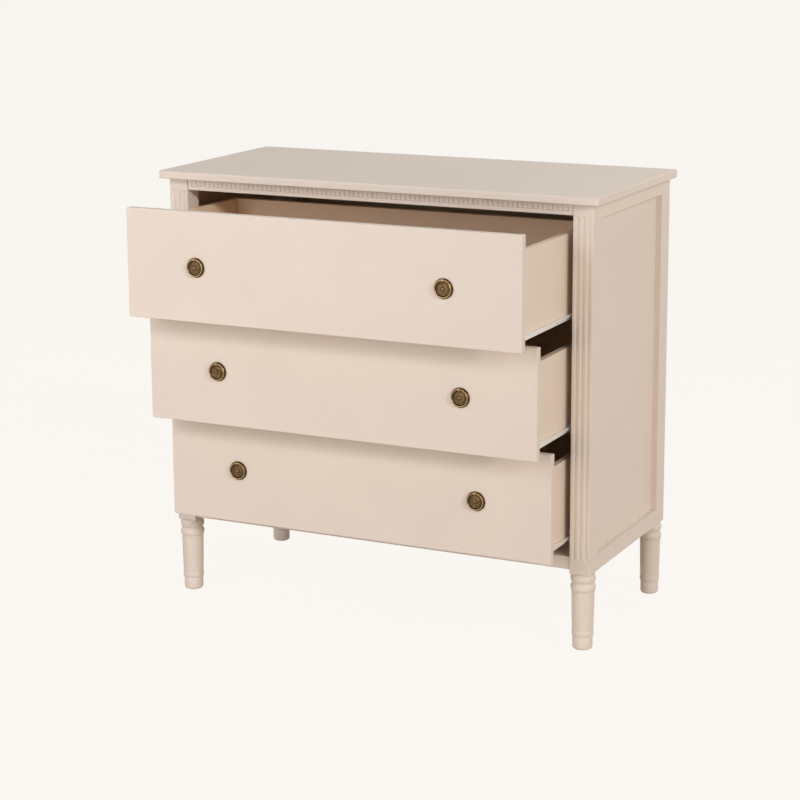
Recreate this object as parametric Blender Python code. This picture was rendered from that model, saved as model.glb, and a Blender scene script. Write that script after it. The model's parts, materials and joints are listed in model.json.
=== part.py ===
"""A painted chest of three drawers on turned legs, with the drawers standing open on roller slides.

The origin lies on the floor, at the middle of the space that the chest takes with its drawers open as modelled.
X runs to the right, Y to the rear and Z up. Lengths are in metres.
"""

import math

import bmesh
import bpy
from mathutils import Matrix, Vector

# Whole chest
TOTAL_HEIGHT = 0.840
SEAT_GAP = 0.0003
FIT_GAP = 0.0003
CUT_OVERRUN = 0.004
JOIN_OVERLAP = 0.0005

# Top board
TOP_WIDTH = 0.900
TOP_DEPTH = 0.420
TOP_THICKNESS = 0.015
TOP_SIDE_OVERHANG = 0.015
TOP_FRONT_OVERHANG = 0.018
TOP_REAR_OVERHANG = 0.002
TOP_CORNER_RADIUS = 0.007
TOP_EDGE_RADIUS = 0.003

# Posts and their flutes
POST_WIDTH = 0.039
FRONT_POST_DEPTH = 0.041
REAR_POST_DEPTH = 0.044
FLUTE_RADIUS = 0.0036
FLUTE_PITCH = 0.0104
FLUTE_RISE = 0.0275

# Turned legs
LEG_HEIGHT = 0.145
LEG_INSET = 0.0205
LEG_TOP_RADIUS = 0.0208
LEG_RING_RADIUS = 0.0233
LEG_NECK_RADIUS = 0.0211
LEG_COLLAR_RADIUS = 0.0216
LEG_SHAFT_TOP_RADIUS = 0.0212
LEG_SHAFT_LOW_RADIUS = 0.0196
LEG_ANKLE_RING_RADIUS = 0.0203
LEG_FOOT_RADIUS = 0.0187
LEG_FOOT_ROUNDING = 0.0055
REAR_LEG_SHARE = 0.93
LEG_TOP_BAND = 0.0035
LEG_RING_HEIGHT = 0.0120
LEG_NECK_HEIGHT = 0.0055
LEG_COLLAR_HEIGHT = 0.0015
LEG_FOOT_HEIGHT = 0.0240
LEG_ANKLE_GAP = 0.0020
LEG_ANKLE_RING_HEIGHT = 0.0100
SPIGOT_RADIUS = 0.0080
SPIGOT_LENGTH = 0.0240

# Rails and their tenons
TENON_LENGTH = 0.010
TENON_SHOULDER = 0.005
RAIL_SETBACK = 0.003
FRONT_RAIL_THICKNESS = 0.018
TOP_RAIL_HEIGHT = 0.0217
BOTTOM_RAIL_RISE = 0.0075
BOTTOM_RAIL_HEIGHT = 0.024
BOTTOM_RAIL_DEPTH = 0.125
REAR_RAIL_THICKNESS = 0.018
REAR_RAIL_HEIGHT = 0.040
SIDE_RAIL_THICKNESS = 0.024
SIDE_UPPER_RAIL_HEIGHT = 0.0287
SIDE_LOWER_RAIL_HEIGHT = 0.030

# Panels
PANEL_SETBACK = 0.012
PANEL_THICKNESS = 0.006
PANEL_GROOVE = 0.0045
BACK_THICKNESS = 0.004
BACK_REBATE = 0.008

# Bead moulding
BEAD_REBATE_HEIGHT = 0.0143
BEAD_REBATE_DEPTH = 0.0035
BEAD_BACKING_SETBACK = 0.0045
BEAD_PROJECTION = 0.0040

# Drawers
DRAWER_NAMES = ("lower", "middle", "upper")
DRAWER_OPENINGS = {"lower": 0.083, "middle": 0.151, "upper": 0.220}
FRONT_BOTTOM_GAP = 0.0075
FRONT_TOP_GAP = 0.003
FRONT_GAP = 0.0035
FRONT_SIDE_GAP = 0.0035
FRONT_THICKNESS = 0.015
FRONT_SETBACK = 0.001
FRONT_EDGE_RADIUS = 0.0015
SIDE_RISE = 0.0175
SIDE_DROP = 0.0305
SIDE_REAR_GAP = 0.0011
SIDE_THICKNESS = 0.012
BOTTOM_RISE = 0.010
BOTTOM_THICKNESS = 0.004
BOTTOM_GROOVE = 0.005

# Roller slides
SLIDE_SPACE = 0.0125
STEEL = 0.0012
CHANNEL_SETBACK = 0.018
CHANNEL_REAR_GAP = 0.0044
CHANNEL_DROP = 0.012
CHANNEL_RISE = 0.019
CHANNEL_FLANGE = 0.0085
RUNNER_REAR_SETBACK = 0.010
RUNNER_RISE = 0.0092
RUNNER_FRONT_LIFT = 0.0065
RUNNER_LIFT_LENGTH = 0.060
RUNNER_FOOT = 0.011
RUNNER_LIP = 0.006
ROLLER_RADIUS = 0.0085
ROLLER_WIDTH = 0.006
ROLLER_CLEARANCE = 0.0016
ROLLER_PLAY = 0.0004
ROLLER_INSET = 0.012
AXLE_RADIUS = 0.0025
STOP_LENGTH = 0.009
STOP_HEIGHT = 0.0025
STOP_FROM_FRONT = 0.048

# Ring pulls
PULL_OFFSET = 0.247
PLATE_RADIUS = 0.0185
PLATE_RIM_RADIUS = 0.0179
PLATE_RIM_HEIGHT = 0.0018
PLATE_FLAT_RADIUS = 0.0130
PLATE_FLAT_HEIGHT = 0.0022
DISH_RIM_RADIUS = 0.0118
DISH_RIM_HEIGHT = 0.0036
DISH_STEP_RADIUS = 0.0094
DISH_STEP_HEIGHT = 0.0030
DISH_FLOOR_RADIUS = 0.0052
DISH_FLOOR_HEIGHT = 0.0034
BUTTON_RADIUS = 0.0032
BUTTON_SHOULDER_HEIGHT = 0.0052
BUTTON_CROWN_RADIUS = 0.0018
BUTTON_HEIGHT = 0.0062
RING_RADIUS = 0.0152
RING_WIRE_RADIUS = 0.0015
RING_STANDOFF = 0.0048
EYE_RADIUS = 0.0033
EYE_HOLE_RADIUS = 0.00185
EYE_WIDTH = 0.0040
EYE_FOOT_HEIGHT = 0.0012
STUD_RADIUS = 0.0020
STUD_HOLE_RADIUS = 0.0025
STUD_PAST_FRONT = 0.0060

# Counts
LEG_SIDES = 20
PLATE_SIDES = 24
RING_SIDES = 24
WIRE_SIDES = 6
ROLLER_SIDES = 16
BORE_SIDES = 16
AXLE_SIDES = 8
STUD_SIDES = 8
EYE_STEPS = 8
FLUTE_SIDES = 12
FLUTE_BANDS = 5
CORNER_SEGMENTS = 4
EDGE_SEGMENTS = 2
RING_STEPS = 4
ROUNDING_STEPS = 3
FLUTE_COUNT = 3
LIFT_STEPS = 5
BEAD_COUNT = 82
BEAD_ACROSS_SHARES = (0.0, 0.14, 0.36, 0.64, 0.86)
BEAD_UP_SHARES = (0.0, 0.12, 0.5, 0.88, 1.0)
BEAD_SQUARENESS = 4

# Places that follow from the sizes
CASE_HALF = TOP_WIDTH / 2 - TOP_SIDE_OVERHANG
OPENING_HALF = CASE_HALF - POST_WIDTH
CASE_DEPTH = TOP_DEPTH - TOP_FRONT_OVERHANG - TOP_REAR_OVERHANG
REAR_POST_FRONT = CASE_DEPTH - REAR_POST_DEPTH
UNDER_TOP = TOTAL_HEIGHT - TOP_THICKNESS
RAIL_HIGH = UNDER_TOP - SEAT_GAP
TOP_RAIL_LOW = RAIL_HIGH - TOP_RAIL_HEIGHT
BOTTOM_RAIL_LOW = LEG_HEIGHT + BOTTOM_RAIL_RISE
BOTTOM_RAIL_HIGH = BOTTOM_RAIL_LOW + BOTTOM_RAIL_HEIGHT
SIDE_UPPER_RAIL_LOW = RAIL_HIGH - SIDE_UPPER_RAIL_HEIGHT
SIDE_LOWER_RAIL_HIGH = LEG_HEIGHT + SIDE_LOWER_RAIL_HEIGHT
FLUTE_LOW = LEG_HEIGHT + FLUTE_RISE
FLUTE_HIGH = TOP_RAIL_LOW
BEAD_REBATE_LOW = UNDER_TOP - BEAD_REBATE_HEIGHT
BEAD_LOW = BEAD_REBATE_LOW + SEAT_GAP
LEG_UPPER_RING_HIGH = LEG_HEIGHT - LEG_TOP_BAND
LEG_UPPER_RING_LOW = LEG_UPPER_RING_HIGH - LEG_RING_HEIGHT
LEG_LOWER_RING_HIGH = LEG_UPPER_RING_LOW - LEG_NECK_HEIGHT
LEG_LOWER_RING_LOW = LEG_LOWER_RING_HIGH - LEG_RING_HEIGHT
LEG_COLLAR_LOW = LEG_LOWER_RING_LOW - LEG_COLLAR_HEIGHT
LEG_ANKLE_RING_LOW = LEG_FOOT_HEIGHT + LEG_ANKLE_GAP
LEG_ANKLE_RING_HIGH = LEG_ANKLE_RING_LOW + LEG_ANKLE_RING_HEIGHT
POST_MIDDLE = OPENING_HALF + POST_WIDTH / 2
BACK_SEAT = CASE_DEPTH - BACK_THICKNESS - 2 * SEAT_GAP
REAR_RAIL_FRONT = BACK_SEAT - REAR_RAIL_THICKNESS
LOWEST_FRONT = BOTTOM_RAIL_HIGH + FRONT_BOTTOM_GAP
FRONTS_SPACE = TOP_RAIL_LOW - FRONT_TOP_GAP - LOWEST_FRONT
FRONT_HEIGHT = (FRONTS_SPACE - (len(DRAWER_NAMES) - 1) * FRONT_GAP) / len(DRAWER_NAMES)
SIDE_HEIGHT = FRONT_HEIGHT - SIDE_RISE - SIDE_DROP
SIDE_START = FRONT_THICKNESS + SEAT_GAP
SIDE_LENGTH = REAR_RAIL_FRONT - SIDE_REAR_GAP - FRONT_SETBACK - SIDE_START
RUNNER_LENGTH = SIDE_LENGTH - RUNNER_REAR_SETBACK
CHANNEL_LENGTH = REAR_RAIL_FRONT - CHANNEL_REAR_GAP - CHANNEL_SETBACK
BOX_HALF = OPENING_HALF - SLIDE_SPACE
BOX_INNER_HALF = BOX_HALF - SIDE_THICKNESS
FRONT_HALF = OPENING_HALF - FRONT_SIDE_GAP
PULL_REACH = RING_STANDOFF + EYE_RADIUS
OPEN_REACH = max(DRAWER_OPENINGS.values()) - FRONT_SETBACK + PULL_REACH
CASE_FRONT = (OPEN_REACH - CASE_DEPTH - TOP_REAR_OVERHANG) / 2

# Colour, roughness and metallic share of each finish
FINISHES = {
    "paint": ((0.80, 0.69, 0.60), 0.45, 0.0),
    "box_paint": ((0.74, 0.62, 0.52), 0.55, 0.0),
    "board": ((0.55, 0.43, 0.33), 0.70, 0.0),
    "coated_steel": ((0.72, 0.71, 0.68), 0.40, 0.2),
    "brass": ((0.22, 0.13, 0.05), 0.38, 0.9),
}


def clear_scene():
    """Takes every object out of the scene."""
    for old in list(bpy.data.objects):
        bpy.data.objects.remove(old, do_unlink=True)


def finish_material(name, finish):
    """A Principled material of one finish."""
    colour, roughness, metallic = FINISHES[finish]
    material = bpy.data.materials.new(name)
    material.use_nodes = True
    shader = material.node_tree.nodes["Principled BSDF"]
    shader.inputs["Base Color"].default_value = (*colour, 1)
    shader.inputs["Roughness"].default_value = roughness
    shader.inputs["Metallic"].default_value = metallic
    return material


def new_object(name, bm, parent):
    """An object with the faces of bm turned outwards."""
    bmesh.ops.recalc_face_normals(bm, faces=bm.faces)
    mesh = bpy.data.meshes.new(name)
    bm.to_mesh(mesh)
    bm.free()
    made = bpy.data.objects.new(name, mesh)
    made.parent = parent
    bpy.context.scene.collection.objects.link(made)
    return made


def piece(name, bm, finish, parent, round_piece=False):
    """A piece of the chest with its own material."""
    made = new_object(name, bm, parent)
    made.data.materials.append(finish_material(name, finish))
    if round_piece:
        made.data.shade_smooth()
        made.data.set_sharp_from_angle(angle=math.radians(40))
    return made


def tool(name, bm, owner, operation):
    """A hidden solid that is cut from its owner or joined to it."""
    made = new_object(name, bm, owner.parent)
    made.location = owner.location
    made.rotation_euler = owner.rotation_euler
    made.hide_render = True
    made.display_type = "WIRE"
    change = owner.modifiers.new(name, "BOOLEAN")
    change.operation = operation
    change.object = made
    change.solver = "EXACT"
    return made


def round_edges(owner, radius):
    """A live rounding of the sharp edges."""
    rounding = owner.modifiers.new("rounding", "BEVEL")
    rounding.width = radius
    rounding.segments = EDGE_SEGMENTS
    rounding.limit_method = "ANGLE"


def mirrored(side, near, far):
    """The X range of a piece on the side where side is 1 for right and -1 for left."""
    return tuple(sorted((side * near, side * far)))


def add_box(bm, xs, ys, zs):
    """A box between two values on each axis."""
    low = Vector((xs[0], ys[0], zs[0]))
    high = Vector((xs[1], ys[1], zs[1]))
    place = Matrix.LocRotScale((low + high) / 2, None, high - low)
    return bmesh.ops.create_cube(bm, size=1, matrix=place)["verts"]


def box(xs, ys, zs):
    """A new mesh with one box."""
    bm = bmesh.new()
    add_box(bm, xs, ys, zs)
    return bm


def add_turning(bm, profile, sides, place):
    """A solid turned about the local Z axis. The profile lists (radius, height)."""
    rings = []
    for radius, height in profile:
        ring = []
        for step in range(sides):
            angle = math.tau * step / sides
            point = Vector((radius * math.cos(angle), radius * math.sin(angle), height))
            ring.append(bm.verts.new(place @ point))
        rings.append(ring)
    for lower, upper in zip(rings, rings[1:]):
        for step in range(sides):
            after = (step + 1) % sides
            bm.faces.new((lower[step], lower[after], upper[after], upper[step]))
    bm.faces.new(rings[0])
    bm.faces.new(rings[-1])


def add_rod(bm, start, end, radius, sides):
    """A cylinder between two points."""
    start = Vector(start)
    along = Vector(end) - start
    turn = along.to_track_quat("Z", "Y").to_matrix().to_4x4()
    place = Matrix.Translation(start) @ turn
    add_turning(bm, ((radius, 0), (radius, along.length)), sides, place)


def add_loft(bm, sections):
    """A solid through a row of sections that have as many points each."""
    loops = [[bm.verts.new(point) for point in section] for section in sections]
    bm.faces.new(loops[0])
    bm.faces.new(loops[-1])
    for near, far in zip(loops, loops[1:]):
        for step in range(len(near)):
            after = (step + 1) % len(near)
            bm.faces.new((near[step], near[after], far[after], far[step]))


def add_prism(bm, outline, spread):
    """An outline extruded along a vector."""
    add_loft(bm, (outline, [Vector(point) + Vector(spread) for point in outline]))


def add_flute(bm, x, low, high):
    """A round-ended rod that cuts one flute."""
    balls = bmesh.ops.create_uvsphere(
        bm, u_segments=FLUTE_SIDES, v_segments=FLUTE_BANDS, radius=FLUTE_RADIUS
    )["verts"]
    half = (high - low) / 2 - FLUTE_RADIUS
    middle = (high + low) / 2
    for vert in balls:
        vert.co += Vector((x, 0, middle + math.copysign(half, vert.co.z)))


def tenon_range(limits):
    """The part of a rail's section that its tenon keeps."""
    return limits[0] + TENON_SHOULDER, limits[1] - TENON_SHOULDER


def grown(limits):
    """A range with the fit on both ends."""
    return limits[0] - FIT_GAP, limits[1] + FIT_GAP


def tenoned_bar(xs, ys, zs, axis):
    """A bar along X or Y whose ends carry tenons."""
    bm = box(xs, ys, zs)
    ends = [face for face in bm.faces if abs(face.normal[axis]) > 0.5]
    for end in ends:
        outward = end.normal.copy()
        bmesh.ops.inset_individual(
            bm, faces=[end], thickness=TENON_SHOULDER, use_even_offset=True
        )
        pulled = bmesh.ops.extrude_discrete_faces(bm, faces=[end])["faces"][0]
        bmesh.ops.translate(bm, verts=pulled.verts, vec=outward * TENON_LENGTH)
    return bm


def deepen_bar(bm, depth):
    """Move a bar's rear face back, between the posts."""
    rear = max(bm.faces, key=lambda face: face.calc_center_median().y)
    front = min(vert.co.y for vert in bm.verts)
    pulled = bmesh.ops.extrude_discrete_faces(bm, faces=[rear])["faces"][0]
    for vert in pulled.verts:
        vert.co.y = front + depth


def add_mortise(bm, shoulder, direction, across, zs, axis):
    """A mortise from a shoulder plane into a post, along X or Y."""
    ends = (shoulder - direction * CUT_OVERRUN, shoulder + direction * (TENON_LENGTH + FIT_GAP))
    along = tuple(sorted(ends))
    ranges = (along, grown(across)) if axis == 0 else (grown(across), along)
    add_box(bm, *ranges, grown(zs))


def front_rail_depths():
    """The Y range of the two front rails."""
    return RAIL_SETBACK, RAIL_SETBACK + FRONT_RAIL_THICKNESS


def rear_rail_depths():
    """The Y range of the two rear rails."""
    return REAR_RAIL_FRONT, BACK_SEAT


def rail_heights():
    """The Z ranges of all rails by name."""
    return {
        "front_top": (TOP_RAIL_LOW, RAIL_HIGH),
        "front_bottom": (BOTTOM_RAIL_LOW, BOTTOM_RAIL_HIGH),
        "rear_top": (RAIL_HIGH - REAR_RAIL_HEIGHT, RAIL_HIGH),
        "rear_bottom": (BOTTOM_RAIL_LOW, BOTTOM_RAIL_LOW + REAR_RAIL_HEIGHT),
        "side_upper": (SIDE_UPPER_RAIL_LOW, RAIL_HIGH),
        "side_lower": (LEG_HEIGHT, SIDE_LOWER_RAIL_HIGH),
    }


def side_rail_widths(side):
    """The X range of the side rails."""
    return mirrored(side, CASE_HALF - SIDE_RAIL_THICKNESS, CASE_HALF)


def panel_widths(side):
    """The X range of a side panel."""
    outer = CASE_HALF - PANEL_SETBACK
    return mirrored(side, outer - PANEL_THICKNESS, outer)


def make_top(chest):
    """The top board, with rounded corners and eased edges."""
    half = TOP_WIDTH / 2
    bm = box(
        (-half, half),
        (-TOP_FRONT_OVERHANG, CASE_DEPTH + TOP_REAR_OVERHANG),
        (UNDER_TOP, TOTAL_HEIGHT),
    )
    upright = [
        edge
        for edge in bm.edges
        if abs(edge.verts[0].co.z - edge.verts[1].co.z) > TOP_THICKNESS / 2
    ]
    bmesh.ops.bevel(
        bm,
        geom=upright,
        offset=TOP_CORNER_RADIUS,
        segments=CORNER_SEGMENTS,
        affect="EDGES",
        profile=0.5,
    )
    top = piece("top_board", bm, "paint", chest)
    round_edges(top, TOP_EDGE_RADIUS)


def add_leg_socket(bm, side, y):
    """The bore for a leg's spigot."""
    x = side * POST_MIDDLE
    add_rod(
        bm,
        (x, y, LEG_HEIGHT - CUT_OVERRUN),
        (x, y, LEG_HEIGHT + SPIGOT_LENGTH + FIT_GAP),
        SPIGOT_RADIUS + FIT_GAP,
        BORE_SIDES,
    )


def add_panel_groove(bm, side, edge, direction):
    """The groove in a post for a side panel."""
    ends = (edge - direction * CUT_OVERRUN, edge + direction * PANEL_GROOVE)
    add_box(
        bm,
        grown(panel_widths(side)),
        tuple(sorted(ends)),
        (SIDE_LOWER_RAIL_HIGH - PANEL_GROOVE, SIDE_UPPER_RAIL_LOW + PANEL_GROOVE),
    )


def add_side_mortises(bm, side, shoulder, direction):
    """The two mortises of a post for the side rails."""
    heights = rail_heights()
    across = tenon_range(side_rail_widths(side))
    for rail in ("side_upper", "side_lower"):
        add_mortise(bm, shoulder, direction, across, tenon_range(heights[rail]), 1)


def make_front_post(chest, side, side_name):
    """A front post with its flutes, mortises, panel groove and leg socket."""
    xs = mirrored(side, OPENING_HALF, CASE_HALF)
    bm = box(xs, (0, FRONT_POST_DEPTH), (LEG_HEIGHT, RAIL_HIGH))
    post = piece(f"front_post_{side_name}", bm, "paint", chest)
    cuts = bmesh.new()
    heights = rail_heights()
    for rail in ("front_top", "front_bottom"):
        across = tenon_range(front_rail_depths())
        shoulder = side * OPENING_HALF
        add_mortise(cuts, shoulder, side, across, tenon_range(heights[rail]), 0)
    add_side_mortises(cuts, side, FRONT_POST_DEPTH, -1)
    add_panel_groove(cuts, side, FRONT_POST_DEPTH, -1)
    add_leg_socket(cuts, side, LEG_INSET)
    for number in range(FLUTE_COUNT):
        offset = (number - (FLUTE_COUNT - 1) / 2) * FLUTE_PITCH
        add_flute(cuts, side * POST_MIDDLE + offset, FLUTE_LOW, FLUTE_HIGH)
    tool(f"front_post_{side_name}_cuts", cuts, post, "DIFFERENCE")


def make_rear_post(chest, side, side_name):
    """A rear post with its mortises, panel groove, rebate and leg socket."""
    xs = mirrored(side, OPENING_HALF, CASE_HALF)
    bm = box(xs, (REAR_POST_FRONT, CASE_DEPTH), (LEG_HEIGHT, RAIL_HIGH))
    post = piece(f"rear_post_{side_name}", bm, "paint", chest)
    cuts = bmesh.new()
    heights = rail_heights()
    for rail in ("rear_top", "rear_bottom"):
        across = tenon_range(rear_rail_depths())
        shoulder = side * OPENING_HALF
        add_mortise(cuts, shoulder, side, across, tenon_range(heights[rail]), 0)
    add_side_mortises(cuts, side, REAR_POST_FRONT, 1)
    add_panel_groove(cuts, side, REAR_POST_FRONT, 1)
    add_leg_socket(cuts, side, CASE_DEPTH - LEG_INSET)
    add_box(
        cuts,
        mirrored(side, OPENING_HALF - CUT_OVERRUN, OPENING_HALF + BACK_REBATE),
        (BACK_SEAT, CASE_DEPTH + CUT_OVERRUN),
        (LEG_HEIGHT - CUT_OVERRUN, UNDER_TOP + CUT_OVERRUN),
    )
    tool(f"rear_post_{side_name}_cuts", cuts, post, "DIFFERENCE")


def ring_profile(high, low, neck_radius, ring_radius):
    """Half-round points of a turned ring, from its upper end to its lower end."""
    points = []
    for step in range(RING_STEPS + 1):
        angle = math.pi * step / RING_STEPS
        middle = (high + low) / 2
        height = middle + (high - low) / 2 * math.cos(angle)
        radius = neck_radius + (ring_radius - neck_radius) * math.sin(angle)
        points.append((radius, height))
    return points


def leg_profile(share):
    """The turned outline of a leg, from the spigot's end down to the floor.

    The share is how stout the leg is; the spigot is the same on all four.
    """
    spigot_end = LEG_HEIGHT + SPIGOT_LENGTH - SEAT_GAP
    shoulder = LEG_HEIGHT - SEAT_GAP
    points = [(LEG_TOP_RADIUS, shoulder)]
    points += ring_profile(
        LEG_UPPER_RING_HIGH, LEG_UPPER_RING_LOW, LEG_NECK_RADIUS, LEG_RING_RADIUS
    )
    points += ring_profile(
        LEG_LOWER_RING_HIGH, LEG_LOWER_RING_LOW, LEG_NECK_RADIUS, LEG_RING_RADIUS
    )
    points.append((LEG_COLLAR_RADIUS, LEG_LOWER_RING_LOW))
    points.append((LEG_COLLAR_RADIUS, LEG_COLLAR_LOW))
    points.append((LEG_SHAFT_TOP_RADIUS, LEG_COLLAR_LOW))
    points += ring_profile(
        LEG_ANKLE_RING_HIGH, LEG_ANKLE_RING_LOW, LEG_SHAFT_LOW_RADIUS, LEG_ANKLE_RING_RADIUS
    )
    points.append((LEG_FOOT_RADIUS, LEG_FOOT_HEIGHT))
    for step in range(ROUNDING_STEPS + 1):
        angle = math.pi / 2 * step / ROUNDING_STEPS
        radius = LEG_FOOT_RADIUS - LEG_FOOT_ROUNDING * (1 - math.cos(angle))
        points.append((radius, LEG_FOOT_ROUNDING * (1 - math.sin(angle))))
    spigot = [(SPIGOT_RADIUS, spigot_end), (SPIGOT_RADIUS, shoulder)]
    return spigot + [(radius * share, height) for radius, height in points]


def make_leg(chest, name, side, y, share):
    """A turned leg whose spigot stands in the post."""
    bm = bmesh.new()
    add_turning(bm, leg_profile(share), LEG_SIDES, Matrix.Identity(4))
    leg = piece(name, bm, "paint", chest, round_piece=True)
    leg.location = (side * POST_MIDDLE, y, 0)


def make_cross_rails(chest):
    """The four rails that run from side to side."""
    heights = rail_heights()
    half = OPENING_HALF - SEAT_GAP
    for end, depths in (("front", front_rail_depths()), ("rear", rear_rail_depths())):
        for level in ("top", "bottom"):
            bm = tenoned_bar((-half, half), depths, heights[f"{end}_{level}"], 0)
            if (end, level) == ("front", "bottom"):
                deepen_bar(bm, BOTTOM_RAIL_DEPTH)
            rail = piece(f"{end}_{level}_rail", bm, "paint", chest)
            if (end, level) == ("front", "top"):
                cut = box(
                    (-half - CUT_OVERRUN, half + CUT_OVERRUN),
                    (RAIL_SETBACK - CUT_OVERRUN, RAIL_SETBACK + BEAD_REBATE_DEPTH),
                    (BEAD_REBATE_LOW, UNDER_TOP + CUT_OVERRUN),
                )
                tool("bead_rebate", cut, rail, "DIFFERENCE")


def make_side_frame(chest, side, side_name):
    """The two side rails with their grooves, and the panel between them."""
    heights = rail_heights()
    front = FRONT_POST_DEPTH + SEAT_GAP
    rear = REAR_POST_FRONT - SEAT_GAP
    grooves = {
        "upper": (SIDE_UPPER_RAIL_LOW - CUT_OVERRUN, SIDE_UPPER_RAIL_LOW + PANEL_GROOVE),
        "lower": (SIDE_LOWER_RAIL_HIGH - PANEL_GROOVE, SIDE_LOWER_RAIL_HIGH + CUT_OVERRUN),
    }
    for level, groove in grooves.items():
        bm = tenoned_bar(side_rail_widths(side), (front, rear), heights[f"side_{level}"], 1)
        rail = piece(f"side_{level}_rail_{side_name}", bm, "paint", chest)
        ys = (front - CUT_OVERRUN, rear + CUT_OVERRUN)
        cut = box(grown(panel_widths(side)), ys, groove)
        tool(f"side_{level}_groove_{side_name}", cut, rail, "DIFFERENCE")
    reach = PANEL_GROOVE - SEAT_GAP
    bm = box(
        panel_widths(side),
        (FRONT_POST_DEPTH - reach, REAR_POST_FRONT + reach),
        (SIDE_LOWER_RAIL_HIGH - reach, SIDE_UPPER_RAIL_LOW + reach),
    )
    piece(f"side_panel_{side_name}", bm, "paint", chest)


def make_back(chest):
    """The back panel in the rebates of the rear posts."""
    half = OPENING_HALF + BACK_REBATE - SEAT_GAP
    ys = (BACK_SEAT + SEAT_GAP, CASE_DEPTH - SEAT_GAP)
    bm = box((-half, half), ys, (BOTTOM_RAIL_LOW, RAIL_HIGH))
    piece("back_panel", bm, "board", chest)


def bead_rise(across, up):
    """How far a bead stands out, from 0 to 1, at shares of its width and height."""
    wide = 1 - (2 * across - 1) ** 2
    tall = 1 - abs(2 * up - 1) ** BEAD_SQUARENESS
    return math.sqrt(max(0, wide)) * math.sqrt(max(0, tall))


def make_beads(chest):
    """The bead moulding: a backing strip with a row of beads."""
    bm = bmesh.new()
    half = OPENING_HALF - SEAT_GAP
    high = UNDER_TOP - 2 * SEAT_GAP
    pitch = 2 * half / BEAD_COUNT
    columns = [
        (number + share, share) for number in range(BEAD_COUNT) for share in BEAD_ACROSS_SHARES
    ]
    columns.append((BEAD_COUNT, 0))
    grid = []
    for place, across in columns:
        column = []
        for up in BEAD_UP_SHARES:
            y = BEAD_BACKING_SETBACK - BEAD_PROJECTION * bead_rise(across, up)
            z = BEAD_LOW + (high - BEAD_LOW) * up
            column.append(bm.verts.new((place * pitch - half, y, z)))
        grid.append(column)
    for left, right in zip(grid, grid[1:]):
        for step in range(len(BEAD_UP_SHARES) - 1):
            bm.faces.new((left[step], right[step], right[step + 1], left[step + 1]))
    rear = RAIL_SETBACK + BEAD_REBATE_DEPTH - SEAT_GAP
    rear_corners = [
        bm.verts.new((x, rear, z)) for x, z in ((-half, BEAD_LOW), (half, BEAD_LOW), (half, high), (-half, high))
    ]
    bm.faces.new(rear_corners)
    bm.faces.new([column[0] for column in grid] + [rear_corners[1], rear_corners[0]])
    bm.faces.new([column[-1] for column in grid] + [rear_corners[2], rear_corners[3]])
    bm.faces.new(grid[0] + [rear_corners[3], rear_corners[0]])
    bm.faces.new(grid[-1] + [rear_corners[2], rear_corners[1]])
    piece("bead_moulding", bm, "paint", chest)


def front_low(number):
    """The height of a drawer front's lower edge, counted from the lowest drawer."""
    return LOWEST_FRONT + number * (FRONT_HEIGHT + FRONT_GAP)


def channel_outline(side, side_low, y):
    """The section of the channel member that is fixed to the posts."""
    web_outer = OPENING_HALF - SEAT_GAP
    web_inner = web_outer - STEEL
    tip = web_outer - CHANNEL_FLANGE
    low = side_low - CHANNEL_DROP
    high = side_low + CHANNEL_RISE
    section = (
        (tip, low),
        (web_outer, low),
        (web_outer, high),
        (tip, high),
        (tip, high - STEEL),
        (web_inner, high - STEEL),
        (web_inner, low + STEEL),
        (tip, low + STEEL),
    )
    return [(side * x, y, z) for x, z in section]


def make_channel(chest, drawer, number, side, side_name):
    """The fixed member of a slide, with its front roller and its stop."""
    side_low = front_low(number) + SIDE_RISE
    bm = bmesh.new()
    outline = channel_outline(side, side_low, CHANNEL_SETBACK)
    add_prism(bm, outline, (0, CHANNEL_LENGTH, 0))
    name = f"{drawer}_slide_{side_name}"
    channel = piece(name, bm, "coated_steel", chest)
    extra = bmesh.new()
    y = CHANNEL_SETBACK + ROLLER_INSET
    z = side_low + RUNNER_RISE - STEEL - ROLLER_PLAY - ROLLER_RADIUS
    inner = BOX_HALF + SEAT_GAP + STEEL + ROLLER_CLEARANCE
    outer = inner + ROLLER_WIDTH
    web_inner = OPENING_HALF - SEAT_GAP - STEEL
    add_rod(extra, (side * inner, y, z), (side * outer, y, z), ROLLER_RADIUS, ROLLER_SIDES)
    stop_low = side_low - CHANNEL_DROP + STEEL
    stop_front = CHANNEL_SETBACK + STOP_FROM_FRONT
    add_box(
        extra,
        mirrored(side, inner, web_inner + JOIN_OVERLAP),
        (stop_front, stop_front + STOP_LENGTH),
        (stop_low - JOIN_OVERLAP, stop_low + STOP_HEIGHT),
    )
    axle = bmesh.new()
    start = (side * (outer - JOIN_OVERLAP), y, z)
    end = (side * (web_inner + JOIN_OVERLAP), y, z)
    add_rod(axle, start, end, AXLE_RADIUS, AXLE_SIDES)
    tool(f"{name}_axle", axle, channel, "UNION")
    tool(f"{name}_roller", extra, channel, "UNION")


def runner_stations():
    """The places along a runner, each with the lift of its lip, which curves up towards the front."""
    stations = []
    for step in range(LIFT_STEPS + 1):
        share = step / LIFT_STEPS
        lift = RUNNER_FRONT_LIFT * (1 - share) ** 2
        stations.append((SIDE_START + RUNNER_LIFT_LENGTH * share, lift))
    stations.append((SIDE_START + RUNNER_LENGTH, 0))
    return stations


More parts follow.
